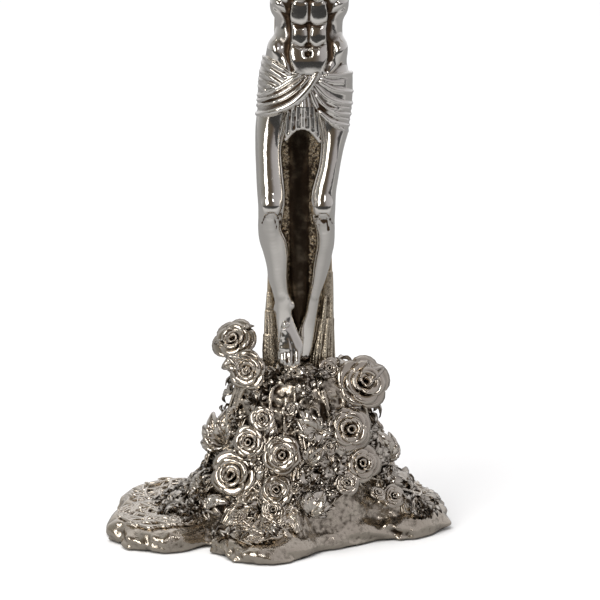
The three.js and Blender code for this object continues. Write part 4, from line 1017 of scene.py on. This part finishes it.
blade_silver = silver("silver grass", bright=(0.76, 0.69, 0.60), dark=(0.06, 0.041, 0.026), rough=0.14,
                      rough_dark=0.35,
                      starts=-0.35, full=1.3, mottle=0.9)
grown("grass", blades, drawn, {"Sides": 5, "Unit": 0.001, "Silver": blade_silver}, rounds=1)

# ------------------------------------------------------------------ the roses
# Eighteen roses and buds, cast one by one and plugged into the mound, and fourteen small ones. Each
# is three or four rounds of thin petals with rolled rims about a tight heart.


def shell(grid, thick):
    """A closed thin sheet from a grid of points, as points and quads; thick may vary over the grid."""
    grid = np.asarray(grid, float)
    du, dv = np.gradient(grid, axis=0), np.gradient(grid, axis=1)
    normal = np.cross(du, dv)
    normal /= np.linalg.norm(normal, axis=2, keepdims=True) + 1e-9
    half = np.broadcast_to(thick, grid.shape[:2])[..., None] / 2
    m, n = grid.shape[:2]
    spots = np.concatenate([(grid + normal * half).reshape(-1, 3), (grid - normal * half).reshape(-1, 3)])
    ids = np.arange(m * n).reshape(m, n)
    front = np.stack([ids[:-1, :-1], ids[1:, :-1], ids[1:, 1:], ids[:-1, 1:]], -1).reshape(-1, 4)
    back = front[:, ::-1] + m * n
    loop = np.concatenate([ids[0, :-1], ids[:-1, -1], ids[-1, :0:-1], ids[:0:-1, 0]])
    after = np.roll(loop, -1)
    wall = np.stack([loop, after, after + m * n, loop + m * n], -1)
    return spots, np.concatenate([front, back, wall])


def petal(root, reach, high, wrap, curl, seed):
    """A petal of a rose of radius one, facing -Y, from its root to its rolled rim."""
    bend = np.random.default_rng(seed)
    u, v = np.meshgrid(np.linspace(-1, 1, 9), np.linspace(0, 1, 9), indexing="ij")
    tall = v * (1 - 0.2 * np.abs(u) ** 3) + 0.015 * np.exp(-(u / 0.2) ** 2) * v ** 3
    lip = np.clip((tall - 0.62) / 0.38, 0, 1)
    r = root + (reach - root) * tall ** 1.25 + curl * lip ** 2 + 0.05 * reach * bend.uniform(-1, 1) * u * v
    h = high * (1 - np.clip(1 - tall, 0, 1) ** 1.7) - curl * 0.75 * lip ** 3 - 0.05 * np.abs(u) ** 2 * v
    wide = math.radians(wrap) * (0.5 + 0.5 * np.sin(math.pi * np.clip(0.1 + 0.62 * v, 0, 1)) ** 0.8)
    angle = u * wide
    h = h + 0.03 * np.sin(5 * u + bend.uniform(0, 6)) * v * v * (reach > 0.3)
    grid = np.stack([r * np.sin(angle), -r * np.cos(angle), h], -1)
    return shell(grid, 0.06 + 0.11 * lip ** 2 + 0.05 * np.abs(u) ** 4)


rounds = ((0.26, 0.96, 0.36, 53, 0.13), (0.2, 0.72, 0.53, 62, 0.12), (0.13, 0.46, 0.62, 76, 0.09),
          (0.05, 0.2, 0.66, 108, 0.04))


def stored(name, shapes):
    """A collection of single petals or leaves, each from points and quads."""
    shelf = bpy.data.collections.new(name)
    bpy.context.scene.collection.children.link(shelf)
    for i, (spots, quads) in enumerate(shapes):
        mesh = bpy.data.meshes.new(f"{name}_{i}")
        mesh.from_pydata(spots.tolist(), [], quads.tolist())
        shelf.objects.link(bpy.data.objects.new(f"{name}_{i}", mesh))
    return shelf


def cleared(shelf):
    for spare in list(shelf.objects):
        bpy.data.objects.remove(spare)
    bpy.data.collections.remove(shelf)


petals = stored("petal",
                [petal(*sizes, 10 * i + kind) for i, sizes in enumerate(rounds) for kind in range(2)])
rose_tree, given = new_tree("rose", (("Petals", "Collection"), ("Radius", "Float"), ("Seat", "Vector"),
                                     ("Facing", "Vector"),
                                     ("Silver", "Material")))
store = node(rose_tree, "GeometryNodeCollectionInfo",
             {"Collection": given["Petals"], "Separate Children": True,
                                                       "Reset Children": True})
which = node(rose_tree, "GeometryNodeInputNamedAttribute", {"Name": "which"}, data_type="INT")
pose = node(rose_tree, "GeometryNodeInputNamedAttribute", {"Name": "pose"}, data_type="FLOAT_VECTOR")
grow_by = node(rose_tree, "GeometryNodeInputNamedAttribute", {"Name": "grow"}, data_type="FLOAT_VECTOR")
turned_by = node(rose_tree, "FunctionNodeEulerToRotation", {0: pose.outputs[0]})
set_in = node(rose_tree, "GeometryNodeInstanceOnPoints", {
    "Points": given["Geometry"], "Instance": store.outputs[0], "Pick Instance": True,
    "Instance Index": which.outputs[0],
    "Rotation": turned_by.outputs[0], "Scale": grow_by.outputs[0]})
upright = node(rose_tree, "FunctionNodeAlignRotationToVector", {"Vector": given["Facing"]}, axis="Z")
scaled = node(rose_tree, "ShaderNodeCombineXYZ", {0: given["Radius"], 1: given["Radius"], 2: given["Radius"]})
placed = node(rose_tree, "GeometryNodeTransform",
              {"Geometry": set_in.outputs[0], "Translation": given["Seat"],
                                                   "Rotation": upright.outputs[0],
               "Scale": scaled.outputs[0]})
plate(rose_tree, placed.outputs[0], given["Silver"])


def set_in_place(name, points, settings):
    """A piece of petals or leaves, from a list of (seat in millimetres, kind, turn, size)."""
    seats, kinds, turns, sizes = zip(*points)
    mesh = bpy.data.meshes.new(name)
    mesh.from_pydata((np.array(seats) / 1000).tolist(), [], [])
    for label, kind, field, values in (("which", "INT", "value", np.array(kinds, np.int32)),
                                       ("pose", "FLOAT_VECTOR", "vector", np.array(turns, np.float32)),
                                       ("grow", "FLOAT_VECTOR", "vector", np.array(sizes, np.float32))):
        mesh.attributes.new(label, kind, "POINT").data.foreach_set(field, values.ravel())
    return grown(name, mesh, rose_tree, settings, rounds=1,
                 stands_for=[name] if name in frame["nodes"] else ())


petal_silver = silver("silver petals", bright=(0.68, 0.615, 0.535), dark=(0.05, 0.034, 0.022), rough=0.12,
                      rough_dark=0.36,
                      starts=-0.2, full=1.0, mottle=0.45)


def rose(name, seat, facing, radius, seed):
    bend = np.random.default_rng(seed)
    counts = (5, 4, 3, 2) if radius > 5.4 else (4, 3, 3, 2)
    points = []
    for ring, count in enumerate(counts):
        start = bend.uniform(0, 6.28)
        for k in range(count):
            kind = 2 * ring + int(bend.integers(0, 2))
            lean = math.radians(bend.normal(0, 2.5))
            turn = (lean, math.radians(bend.normal(0, 2.5)),
                    start + 2 * math.pi * k / count + bend.normal(0, 0.08))
            size = bend.uniform(0.94, 1.06)
            points.append(((0, 0, 0), kind, turn, (size, size, bend.uniform(0.9, 1.1))))
    bloom = set_in_place(name, points,
                         {"Petals": petals, "Radius": radius / 1000, "Seat": tuple(np.array(seat) / 1000),
                                        "Facing": tuple(facing), "Silver": petal_silver})
    # Painted shade: the petals are darkened the lower they lie in the cup, for the shade down among them.
    spots = np.zeros(len(bloom.data.vertices) * 3)
    bloom.data.vertices.foreach_get("co", spots)
    up = (spots.reshape(-1, 3) * 1000 - seat) @ np.array(facing) / radius
    add_patina_and_shade(bloom, np.clip(0.5 - up, 0, 0.5) * 1.3)


def lean_up(bearing, share, lean):
    spot, facing = on_hill(bearing, share)
    flat = np.array([facing[0], facing[1], 0]) / (np.hypot(facing[0], facing[1]) + 1e-9)
    tilt = math.atan2(facing[2], np.hypot(facing[0], facing[1])) + math.radians(lean)
    return spot, flat * math.cos(tilt) + np.array([0, 0, math.sin(tilt)])


for i, (name, bearing, share, radius, lean) in enumerate(bloom_list):
    spot, facing = lean_up(math.radians(bearing), share, lean)
    spot = spot + facing * 1.2
    if abs(bearing) < 80:
        # The blooms on the front were turned to face whoever stands before the cross.
        facing = facing * 0.6 + np.array([0, -0.62, 0.12])
        facing /= np.linalg.norm(facing)
    if name == "rose_shoulder_right":
        facing, spot = np.array([0.28, -0.87, 0.4]), spot + [0.6, -5.5, 0.5]
    rose(name, spot, facing, radius * 1.22, 40 + i)
for i, (name, seat, facing, radius) in enumerate((
        ("rose_crest_left", [-31.5, -2, mound_top + 9], [-0.34, -0.74, 0.58], 9.4),
        ("rose_shoulder_left", [-25.2, -13.5, mound_top - 2.5], [-0.22, -0.95, 0.2], 8.2))):
    rose(name, np.array(seat), np.array(facing) / np.linalg.norm(facing), radius * 1.1, 70 + i)
dice = np.random.default_rng(90)
for i, (bearing, share, radius) in enumerate((
        (-62, 0.7, 3.6), (-3, 0.655, 3.2), (20, 0.545, 3.4), (-24, 0.6, 3.2), (-66, 0.5, 3.8),
        (66, 0.66, 3.8), (47, 0.72, 3.4),
        (14, 0.76, 3.0), (-30, 0.84, 3.4), (-8, 0.47, 3.2), (150, 0.66, 4), (-140, 0.5, 4), (105, 0.55, 4),
        (-100, 0.72, 3.6))):
    spot, facing = lean_up(math.radians(bearing), share, dice.uniform(-5, 20))
    rose(f"small_rose_{i + 1}", spot + facing * 1.4, facing, radius * 1.2, 200 + i)
cleared(petals)

# ------------------------------------------------------------------ the leaves
# Rose leaves in sprays of three or five, with toothed edges, a sunk midrib and raised veins. They
# were cast with a short stem that is soldered to the mound.


def leaf(teeth, cup, curl, plump, rows, steps):
    """A leaf of length one along Y from its stem, with a cup across it and a curl at its tip."""
    u, v = np.meshgrid(np.linspace(-1, 1, rows), np.linspace(0, 1, steps), indexing="ij")
    toothed = 1 + 0.08 * np.abs((teeth * v) % 1 - 0.5) * 2 * np.abs(u) ** 3
    width = plump * (np.sin(math.pi * v ** 0.78) ** 0.58 + 0.05 * (1 - v)) * toothed
    veins = 0.03 * np.cos(2 * math.pi * (teeth * v - 1.3 * np.abs(u))) * np.clip(2.4 * np.abs(u), 0,
                                                                                 1) * np.sin(math.pi * v)
    rise = cup * np.abs(u) ** 1.2 * np.sin(math.pi * v) - 0.06 * np.exp(-(u / 0.16) ** 2) * (1 - 0.6
                                                                                             * v) + veins
    droop = 0.12 * np.sin(math.pi * v) + 0.1 - curl * 1.6 * np.clip(v - 0.6, 0,
                                                                    1) ** 2 - cup * 0.5 * np.abs(u) ** 3
    spots, quads = shell(np.stack([u * width, v + 0.04 * np.abs(u) * v, rise + droop], -1), 0.05)
    return spots, quads[:, ::-1]


# Three leaves with all their teeth and veins, and the same three with few faces for the small sprays.
leaf_shapes = ((6, 0.2, 0.16, 0.28), (5, 0.3, 0.26, 0.24), (5, 0.24, 0.08, 0.32))
leaves = stored("leaf", [leaf(*shape, *faces) for faces in ((11, 22), (5, 8)) for shape in leaf_shapes])
leaf_silver = silver("silver leaves", bright=(0.80, 0.74, 0.66), dark=(0.05, 0.034, 0.022), rough=0.115,
                     rough_dark=0.34,
                     starts=-0.05, full=0.9, mottle=0.35)


def spray(name, sprigs, on_ground=False):
    """Leaves from a list of (seat, way along, way up, length, kind), as one piece."""
    points = []
    for seat, along, up, length, kind in sprigs:
        along = along / np.linalg.norm(along)
        side = np.cross(along, up)
        side /= np.linalg.norm(side)
        turn = Matrix(np.column_stack([side, along, np.cross(side, along)]).tolist()).to_euler()
        points.append((seat, kind, tuple(turn), (length / 1000,) * 3))
    if on_ground:
        seats = rock.settle([point[0] for point in points], 0.3)[0]
        points = [(seat, *point[1:]) for seat, point in zip(seats, points)]
    set_in_place(name, points, {"Petals": leaves, "Radius": 1.0, "Seat": (0, 0, 0), "Facing": (0, 0, 1),
                                "Silver": leaf_silver})


def slope_frame(bearing, share, turn):
    """A spot on the mound, the way down its slope turned by an angle, and the way off it."""
    spot, facing = on_hill(bearing, share)
    down = np.array([0, 0, -1.0]) + facing * facing[2]
    down /= np.linalg.norm(down)
    side = np.cross(facing, down)
    return spot, down * math.cos(turn) + side * math.sin(turn), facing


dice = np.random.default_rng(5)
fan_leaves = ((-1.5, 0.62), (-0.95, 0.7), (-0.45, 0.78), (0.05, 0.8), (0.5, 0.76), (1.0, 0.68), (1.5, 0.6))
spray_leaves = ((-1.25, 0.6), (-0.62, 0.8), (0, 0.95), (0.62, 0.8), (1.25, 0.6))
for name, bearing, share, length, turn in (
        ("leaf_fan_left", -74, 0.53, 17, 20), ("leaf_upper_middle", 6, 0.5, 12, 60),
        ("leaf_heart_right", 11, 0.56, 11, -50),
        ("leaf_side_right", 76, 0.57, 13, 10), ("leaf_low_left", -72, 0.7, 13, 25),
        ("leaf_low_middle", 9, 0.72, 13, -35),
        ("leaf_skirt_right", 76, 0.72, 14, 30), ("leaf_skirt_left", -45, 0.8, 13, -60),
        ("leaf_back_left", -125, 0.56, 14, 15), ("leaf_back_right", 130, 0.58, 14, -15)):
    seat, along, up = slope_frame(math.radians(bearing), share, math.radians(turn) + math.pi)
    if name in ("leaf_fan_left", "leaf_side_right"):
        # These two stand out from the mound's sides, turned to the front.
        up = up + np.array([0, -1.3, 0.1])
        up /= np.linalg.norm(up)
        along = along - up * (along @ up)
        along /= np.linalg.norm(along)
        length *= 1.3
    side = np.cross(along, up)
    root = seat - along * length * 0.5 + up * 0.8
    fan, sprigs = name == "leaf_fan_left", []
    for angle, size in fan_leaves if fan else spray_leaves:
        way = along * math.cos(angle) + side * math.sin(angle) + up * 0.16
        sprigs.append((root + along * (3 if fan else 0.6), way, up + 0.1 * dice.normal(size=3), length * size,
                       1 if fan else int(dice.integers(0, 3))))
    spray(name, sprigs)
sprigs = []
for k in range(520):
    bearing = dice.uniform(-1.7, 1.7) if k % 4 else dice.uniform(-math.pi, math.pi)
    share = dice.uniform(0.3, 0.95)
    if k % 5 == 1:
        bearing, share = dice.uniform(-1.75, -1.0), dice.uniform(0.5, 1.0)
    elif k % 5 in (2, 3):
        bearing, share = dice.uniform(0.1, 1.35), dice.uniform(0.5, 0.98)
    seat, along, up = slope_frame(bearing, share, dice.uniform(-2.2, 2.2))
    if lobe_edge(seat[0], seat[1]) > -4.5 or (np.linalg.norm(seat - seats_taken,
                                                             axis=1) < room_taken * 1.1).any():
        continue
    side, length = np.cross(along, up), dice.uniform(4.6, 9.5)
    for angle in (-0.75, 0, 0.75)[: int(dice.integers(1, 4))]:
        way = along * math.cos(angle) + side * math.sin(angle) + up * dice.uniform(0.1, 0.55)
        sprigs.append((seat + up * 0.5, way, up + 0.25 * dice.normal(size=3),
                       length * dice.uniform(0.75, 1.05),
                       int(dice.integers(3, 6))))
spray("small_leaves", sprigs, on_ground=True)
# Sprays under and between the great blooms, standing clear of the mound's sides.
shoulder_seat = lean_up(math.radians(73), 0.43, 12)[0] + [0.6, -5.5, 0.5]
framing = []
for seat, facing, ways in (
        (shoulder_seat, [0.28, -0.87, 0.4],
         ((0.75, -0.2, 0.62, 12.5), (0.35, -0.3, 0.9, 11), (1, -0.2, -0.1, 10), (0.6, -0.5, -0.8, 9))),
        (np.array([-31.5, 0, mound_top + 10.0]), [-0.5, -0.42, 0.76],
         ((-0.9, -0.3, 0.1, 9), (-0.4, -0.6, -0.7, 8), (0.5, -0.3, 0.75, 9))),
        (np.array([-25.6, -12.5, mound_top + 1.8]), [-0.3, -0.9, 0.32],
         ((-1, -0.3, -0.15, 10.5), (-0.85, -0.4, 0.3, 9), (-0.5, -0.5, -0.8, 9.5), (0.7, -0.5, -0.5, 8)))):
    facing = np.array(facing)
    for wx, wy, wz, length in ways:
        framing.append((seat - facing * 2.5, np.array([wx, wy, wz]), facing + 0.15 * dice.normal(size=3),
                        length + 3,
                        int(dice.integers(0, 3))))
spray("framing_leaves", framing)
cleared(leaves)


# ------------------------------------------------------------------ the nails
# Three nails with hammered domed heads, driven through the hands and the feet into the cross.


def turned(profile, seat, axis, around=20, dents=0.0, seed=1):
    """A turned piece from [radius, along] points about an axis, its head dented a little if asked."""
    axis = np.array(axis, float)
    side = np.cross(axis, [0, 0, 1.0])
    side = side / np.linalg.norm(side) if np.linalg.norm(side) > 0.1 else np.array([1.0, 0, 0])
    up = np.cross(axis, side)
    hit = np.random.default_rng(seed)
    spots, faces = [], []
    angles = np.linspace(0, 2 * math.pi, around, endpoint=False)
    for r, h in profile[1:-1]:
        wob = 1 + dents * hit.uniform(-1, 1, around)
        spots += [seat + axis * h + (side * math.cos(a) + up * math.sin(a)) * r * w for a,
                  w in zip(angles, wob)]
    rings = len(profile) - 2
    foot, head = len(spots), len(spots) + 1
    spots += [seat + axis * profile[0][1], seat + axis * profile[-1][1]]
    quads = [(k * around + i, k * around + (i + 1) % around, (k + 1) * around + (i + 1) % around,
              (k + 1) * around + i)
             for k in range(rings - 1) for i in range(around)]
    ends = [(foot, (i + 1) % around, i) for i in range(around)]
    ends += [(head, (rings - 1) * around + i, (rings - 1) * around + (i + 1) % around) for i in range(around)]
    return np.array(spots), [np.array(quads), np.array(ends)]


nail_silver = silver("nail silver", starts=0.2, full=1.6, mottle=0.2, rough=0.12)
for name, seat in (("nail_right_hand", [-hand_out, -8.96, crossing]),
                   ("nail_left_hand", [hand_out, -8.96, crossing]),
                   ("nail_feet", [-6.99, body.skin(-6.99, 107.4) + 0.3, 107.4])):
    length = 1 - seat[1]
    profile = [(0, -length), (0.35, -length), (0.65, -length + 1.2), (0.7, -0.05), (1.75, 0), (1.98, 0.25),
               (1.95, 0.6),
               (1.7, 1.05), (1.2, 1.5), (0.6, 1.75), (0, 1.85)]
    spots, faces = turned(profile, np.array(seat), [0, -1, 0], dents=0.05, seed=len(name))
    cast(name, spots, faces, nail_silver, [name], rounds=1)

# ------------------------------------------------------------------ the scroll above the head
# A strip of sheet silver, left blank, with both ends rolled forward, pinned to the post.
scroll_mid, scroll_face = 388.9, -5.1
path = [[-13.6 + 1.5 * math.cos(a), scroll_face - 1.7 + 1.5 * math.sin(a)] for a in np.linspace(-2.6, 1.35,
                                                                                                13)]
middle = [[t, scroll_face + 0.12 * math.sin(0.45 * t)] for t in np.linspace(-12.6, 12.6, 19)]
path = np.array(path + middle + [[-px, py] for px, py in path[::-1]])
along, down = len(path), 9
sag = 0.4 * np.cos(np.linspace(-math.pi, math.pi, along))
grid = np.stack([np.column_stack([path, scroll_mid + 7.4 * t + sag]) for t in np.linspace(-1, 1, down)],
                axis=1)
spots, quads = shell(grid, 0.7)
scroll_silver = silver("scroll silver", starts=0.15, full=0.9, mottle=0.35, rough=0.14, grain=0.35,
                       grain_size=420, grain_dark=0.2)
cast("scroll", spots, [quads], scroll_silver, ["title_scroll"], rounds=1)
for name, x in (("scroll_pin_left", -9.5), ("scroll_pin_right", 9.5)):
    profile = [(0, -5), (0.4, -5), (0.65, -4.2), (0.7, 0.3), (1.3, 0.35), (1.45, 0.6), (1.3, 0.95),
               (0.8, 1.25), (0, 1.4)]
    spots, faces = turned(profile, np.array([x, -5.7, scroll_mid]), [0, -1, 0], around=16, dents=0.05, seed=3)
    cast(name, spots, faces, nail_silver, [name], rounds=1)

# ------------------------------------------------------------------ rivets, screws and the underside
# The rivets of the crossing are dark silver. The screws, tie rod, washer, nut and cover plate are
# plain steel with a brushed face, and dark felt is glued under them.
steel, tree, shader = finish("brushed steel", Metallic=1.0)
place = node(tree, "ShaderNodeTexCoord").outputs["Object"]
stretch = node(tree, "ShaderNodeMapping", {"Scale": (900, 30, 900), "Vector": place}).outputs["Vector"]
brush = node(tree, "ShaderNodeTexNoise", {"Scale": 1.0, "Detail": 4, "Vector": stretch}).outputs["Fac"]
tree.links.new(blend(tree, brush, (0.42, 0.425, 0.435), (0.60, 0.605, 0.61)), shader["Base Color"])
gloss = node(tree, "ShaderNodeMapRange", {"To Min": 0.25, "To Max": 0.42, "Value": brush})
tree.links.new(gloss.outputs["Result"], shader["Roughness"])
felt, tree, shader = finish("felt", Roughness=0.95, Specular_IOR_Level=0.15, Sheen_Weight=0.35)
place = node(tree, "ShaderNodeTexCoord").outputs["Object"]
nap = node(tree, "ShaderNodeTexNoise", {"Scale": 1400, "Detail": 6, "Vector": place}).outputs["Fac"]
tree.links.new(blend(tree, nap, (0.012, 0.016, 0.014), (0.045, 0.052, 0.048)), shader["Base Color"])
fuzz = node(tree, "ShaderNodeBump", {"Strength": 0.6, "Distance": 0.0003, "Height": nap})
tree.links.new(fuzz.outputs["Normal"], shader["Normal"])
rivet_silver = silver("rivet silver", bright=(0.6, 0.56, 0.5), starts=-0.1, full=1.0, mottle=0.5, rough=0.18)
for name in frame["nodes"]:
    thing = bpy.data.objects.get(name)
    coat = (felt if name == "felt_pad" else rivet_silver if name.startswith("crossing_rivet") else
            steel if name.startswith(("base_plate", "tie_rod", "figure_screw")) else None)
    if coat and thing:
        for slot in thing.material_slots:
            slot.material = coat


# ------------------------------------------------------------------ studio
# A pale table with a soft light above it, a tall narrow window to the front left and a dim room
# in front, which the polished silver mirrors.
floor_mesh = bpy.data.meshes.new("table")
floor_mesh.from_pydata([(-30, -30, 0), (30, -30, 0), (30, 30, 0), (-30, 30, 0)], [], [(0, 1, 2, 3)])
table = bpy.data.objects.new("table", floor_mesh)
bpy.context.scene.collection.objects.link(table)


def ramp(tree, share, stops):
    """A run of colours from (place, colour) stops."""
    shades = node(tree, "ShaderNodeValToRGB", {"Fac": share})
    for i, (spot, tone) in enumerate(stops):
        stop = shades.color_ramp.elements[i] if i < 2 else shades.color_ramp.elements.new(spot)
        stop.position, stop.color = spot, (*tone, 1)
    return shades.outputs["Color"]


# The table is pale to the eye. In the silver's mirror it is darker, with painted shade near the rock and far
# to the front, towards the window.
paint, tree, shader = finish("pale table", Roughness=0.9, Specular_IOR_Level=0.1)
where = node(tree, "ShaderNodeNewGeometry").outputs["Position"]
split = node(tree, "ShaderNodeSeparateXYZ", {0: where})
reach = node(tree, "ShaderNodeMapRange",
             {"From Min": -1, "From Max": 0, "Value": split.outputs["Y"]}).outputs["Result"]
mirrored_floor_shade = ramp(tree, reach, [(spot, (tone,) * 3) for spot,
                              tone in ((0.22, 0.03), (0.5, 0.44), (0.72, 0.42), (0.95, 0.27))])
ray = node(tree, "ShaderNodeLightPath")
tree.links.new(blend(tree, ray.outputs["Is Glossy Ray"], (0.86, 0.86, 0.86), mirrored_floor_shade), shader["Base Color"])
floor_mesh.materials.append(paint)

room = bpy.data.worlds.new("room")
bpy.context.scene.world = room
room.use_nodes = True
tree = room.node_tree
tree.nodes.clear()
split = node(tree, "ShaderNodeSeparateXYZ",
             {0: node(tree, "ShaderNodeTexCoord").outputs["Generated"]}).outputs
front = maths(tree, "MULTIPLY", split["Y"], -1)
ahead = node(tree, "ShaderNodeMapRange", {"From Min": -math.pi, "From Max": math.pi,
                                          "Value": maths(tree, "ARCTAN2", split["X"],
                                                         front)}).outputs["Result"]
shades = ramp(tree, ahead, [
    (0.0, (0.9, 0.9, 0.92)), (0.2, (0.4, 0.4, 0.4)), (0.33, (0.25, 0.24, 0.215)), (0.43, (0.13, 0.11, 0.085)),
    (0.5, (0.105, 0.082, 0.06)), (0.53, (0.15, 0.13, 0.115)), (0.58, (0.4, 0.385, 0.395)),
    (0.74, (0.5, 0.49, 0.5)),
    (0.86, (0.6, 0.6, 0.62)), (1.0, (0.9, 0.9, 0.92))])
dim = node(tree, "ShaderNodeBackground", {"Color": shades})
white = node(tree, "ShaderNodeBackground", {"Color": (1, 1, 1, 1)})
seen = node(tree, "ShaderNodeLightPath").outputs["Is Camera Ray"]
choose = node(tree, "ShaderNodeMixShader", {0: seen, 1: dim.outputs[0], 2: white.outputs[0]})
node(tree, "ShaderNodeOutputWorld", {"Surface": choose.outputs[0]})


def lamp(name, spot, aim, size, power, tone=(1, 1, 1)):
    light = bpy.data.lights.new(name, "AREA")
    light.shape, light.size, light.size_y = "RECTANGLE", *size
    light.energy, light.color = power, tone
    thing = bpy.data.objects.new(name, light)
    bpy.context.scene.collection.objects.link(thing)
    thing.location = spot
    thing.rotation_euler = (Vector(aim) - Vector(spot)).to_track_quat("-Z", "Z").to_euler()


lamp("window", (-1.08, -1.42, 0.95), (0, 0, 0.25), (0.66, 1.5), 13, (1, 0.98, 0.95))
lamp("small window", (0.5, -1.7, 1.2), (0, 0, 0.25), (0.14, 0.5), 1.6)
sky = bpy.data.lights.new("overhead", "SUN")
sky.energy, sky.angle = 2.6, math.radians(50)
overhead = bpy.data.objects.new("overhead", sky)
bpy.context.scene.collection.objects.link(overhead)
overhead.rotation_euler = (math.radians(18), math.radians(-14), 0)
overhead.visible_glossy = False

camera_data = bpy.data.cameras.new("camera")
camera_data.lens, camera_data.sensor_width = 117.8, 36
camera = bpy.data.objects.new("camera", camera_data)
bpy.context.scene.collection.objects.link(camera)
camera.location = (0, -0.95, 0.30)
camera.rotation_euler = (math.radians(90 - 10.95), 0, 0)
bpy.context.scene.camera = camera
bpy.context.scene.view_settings.view_transform = "Standard"
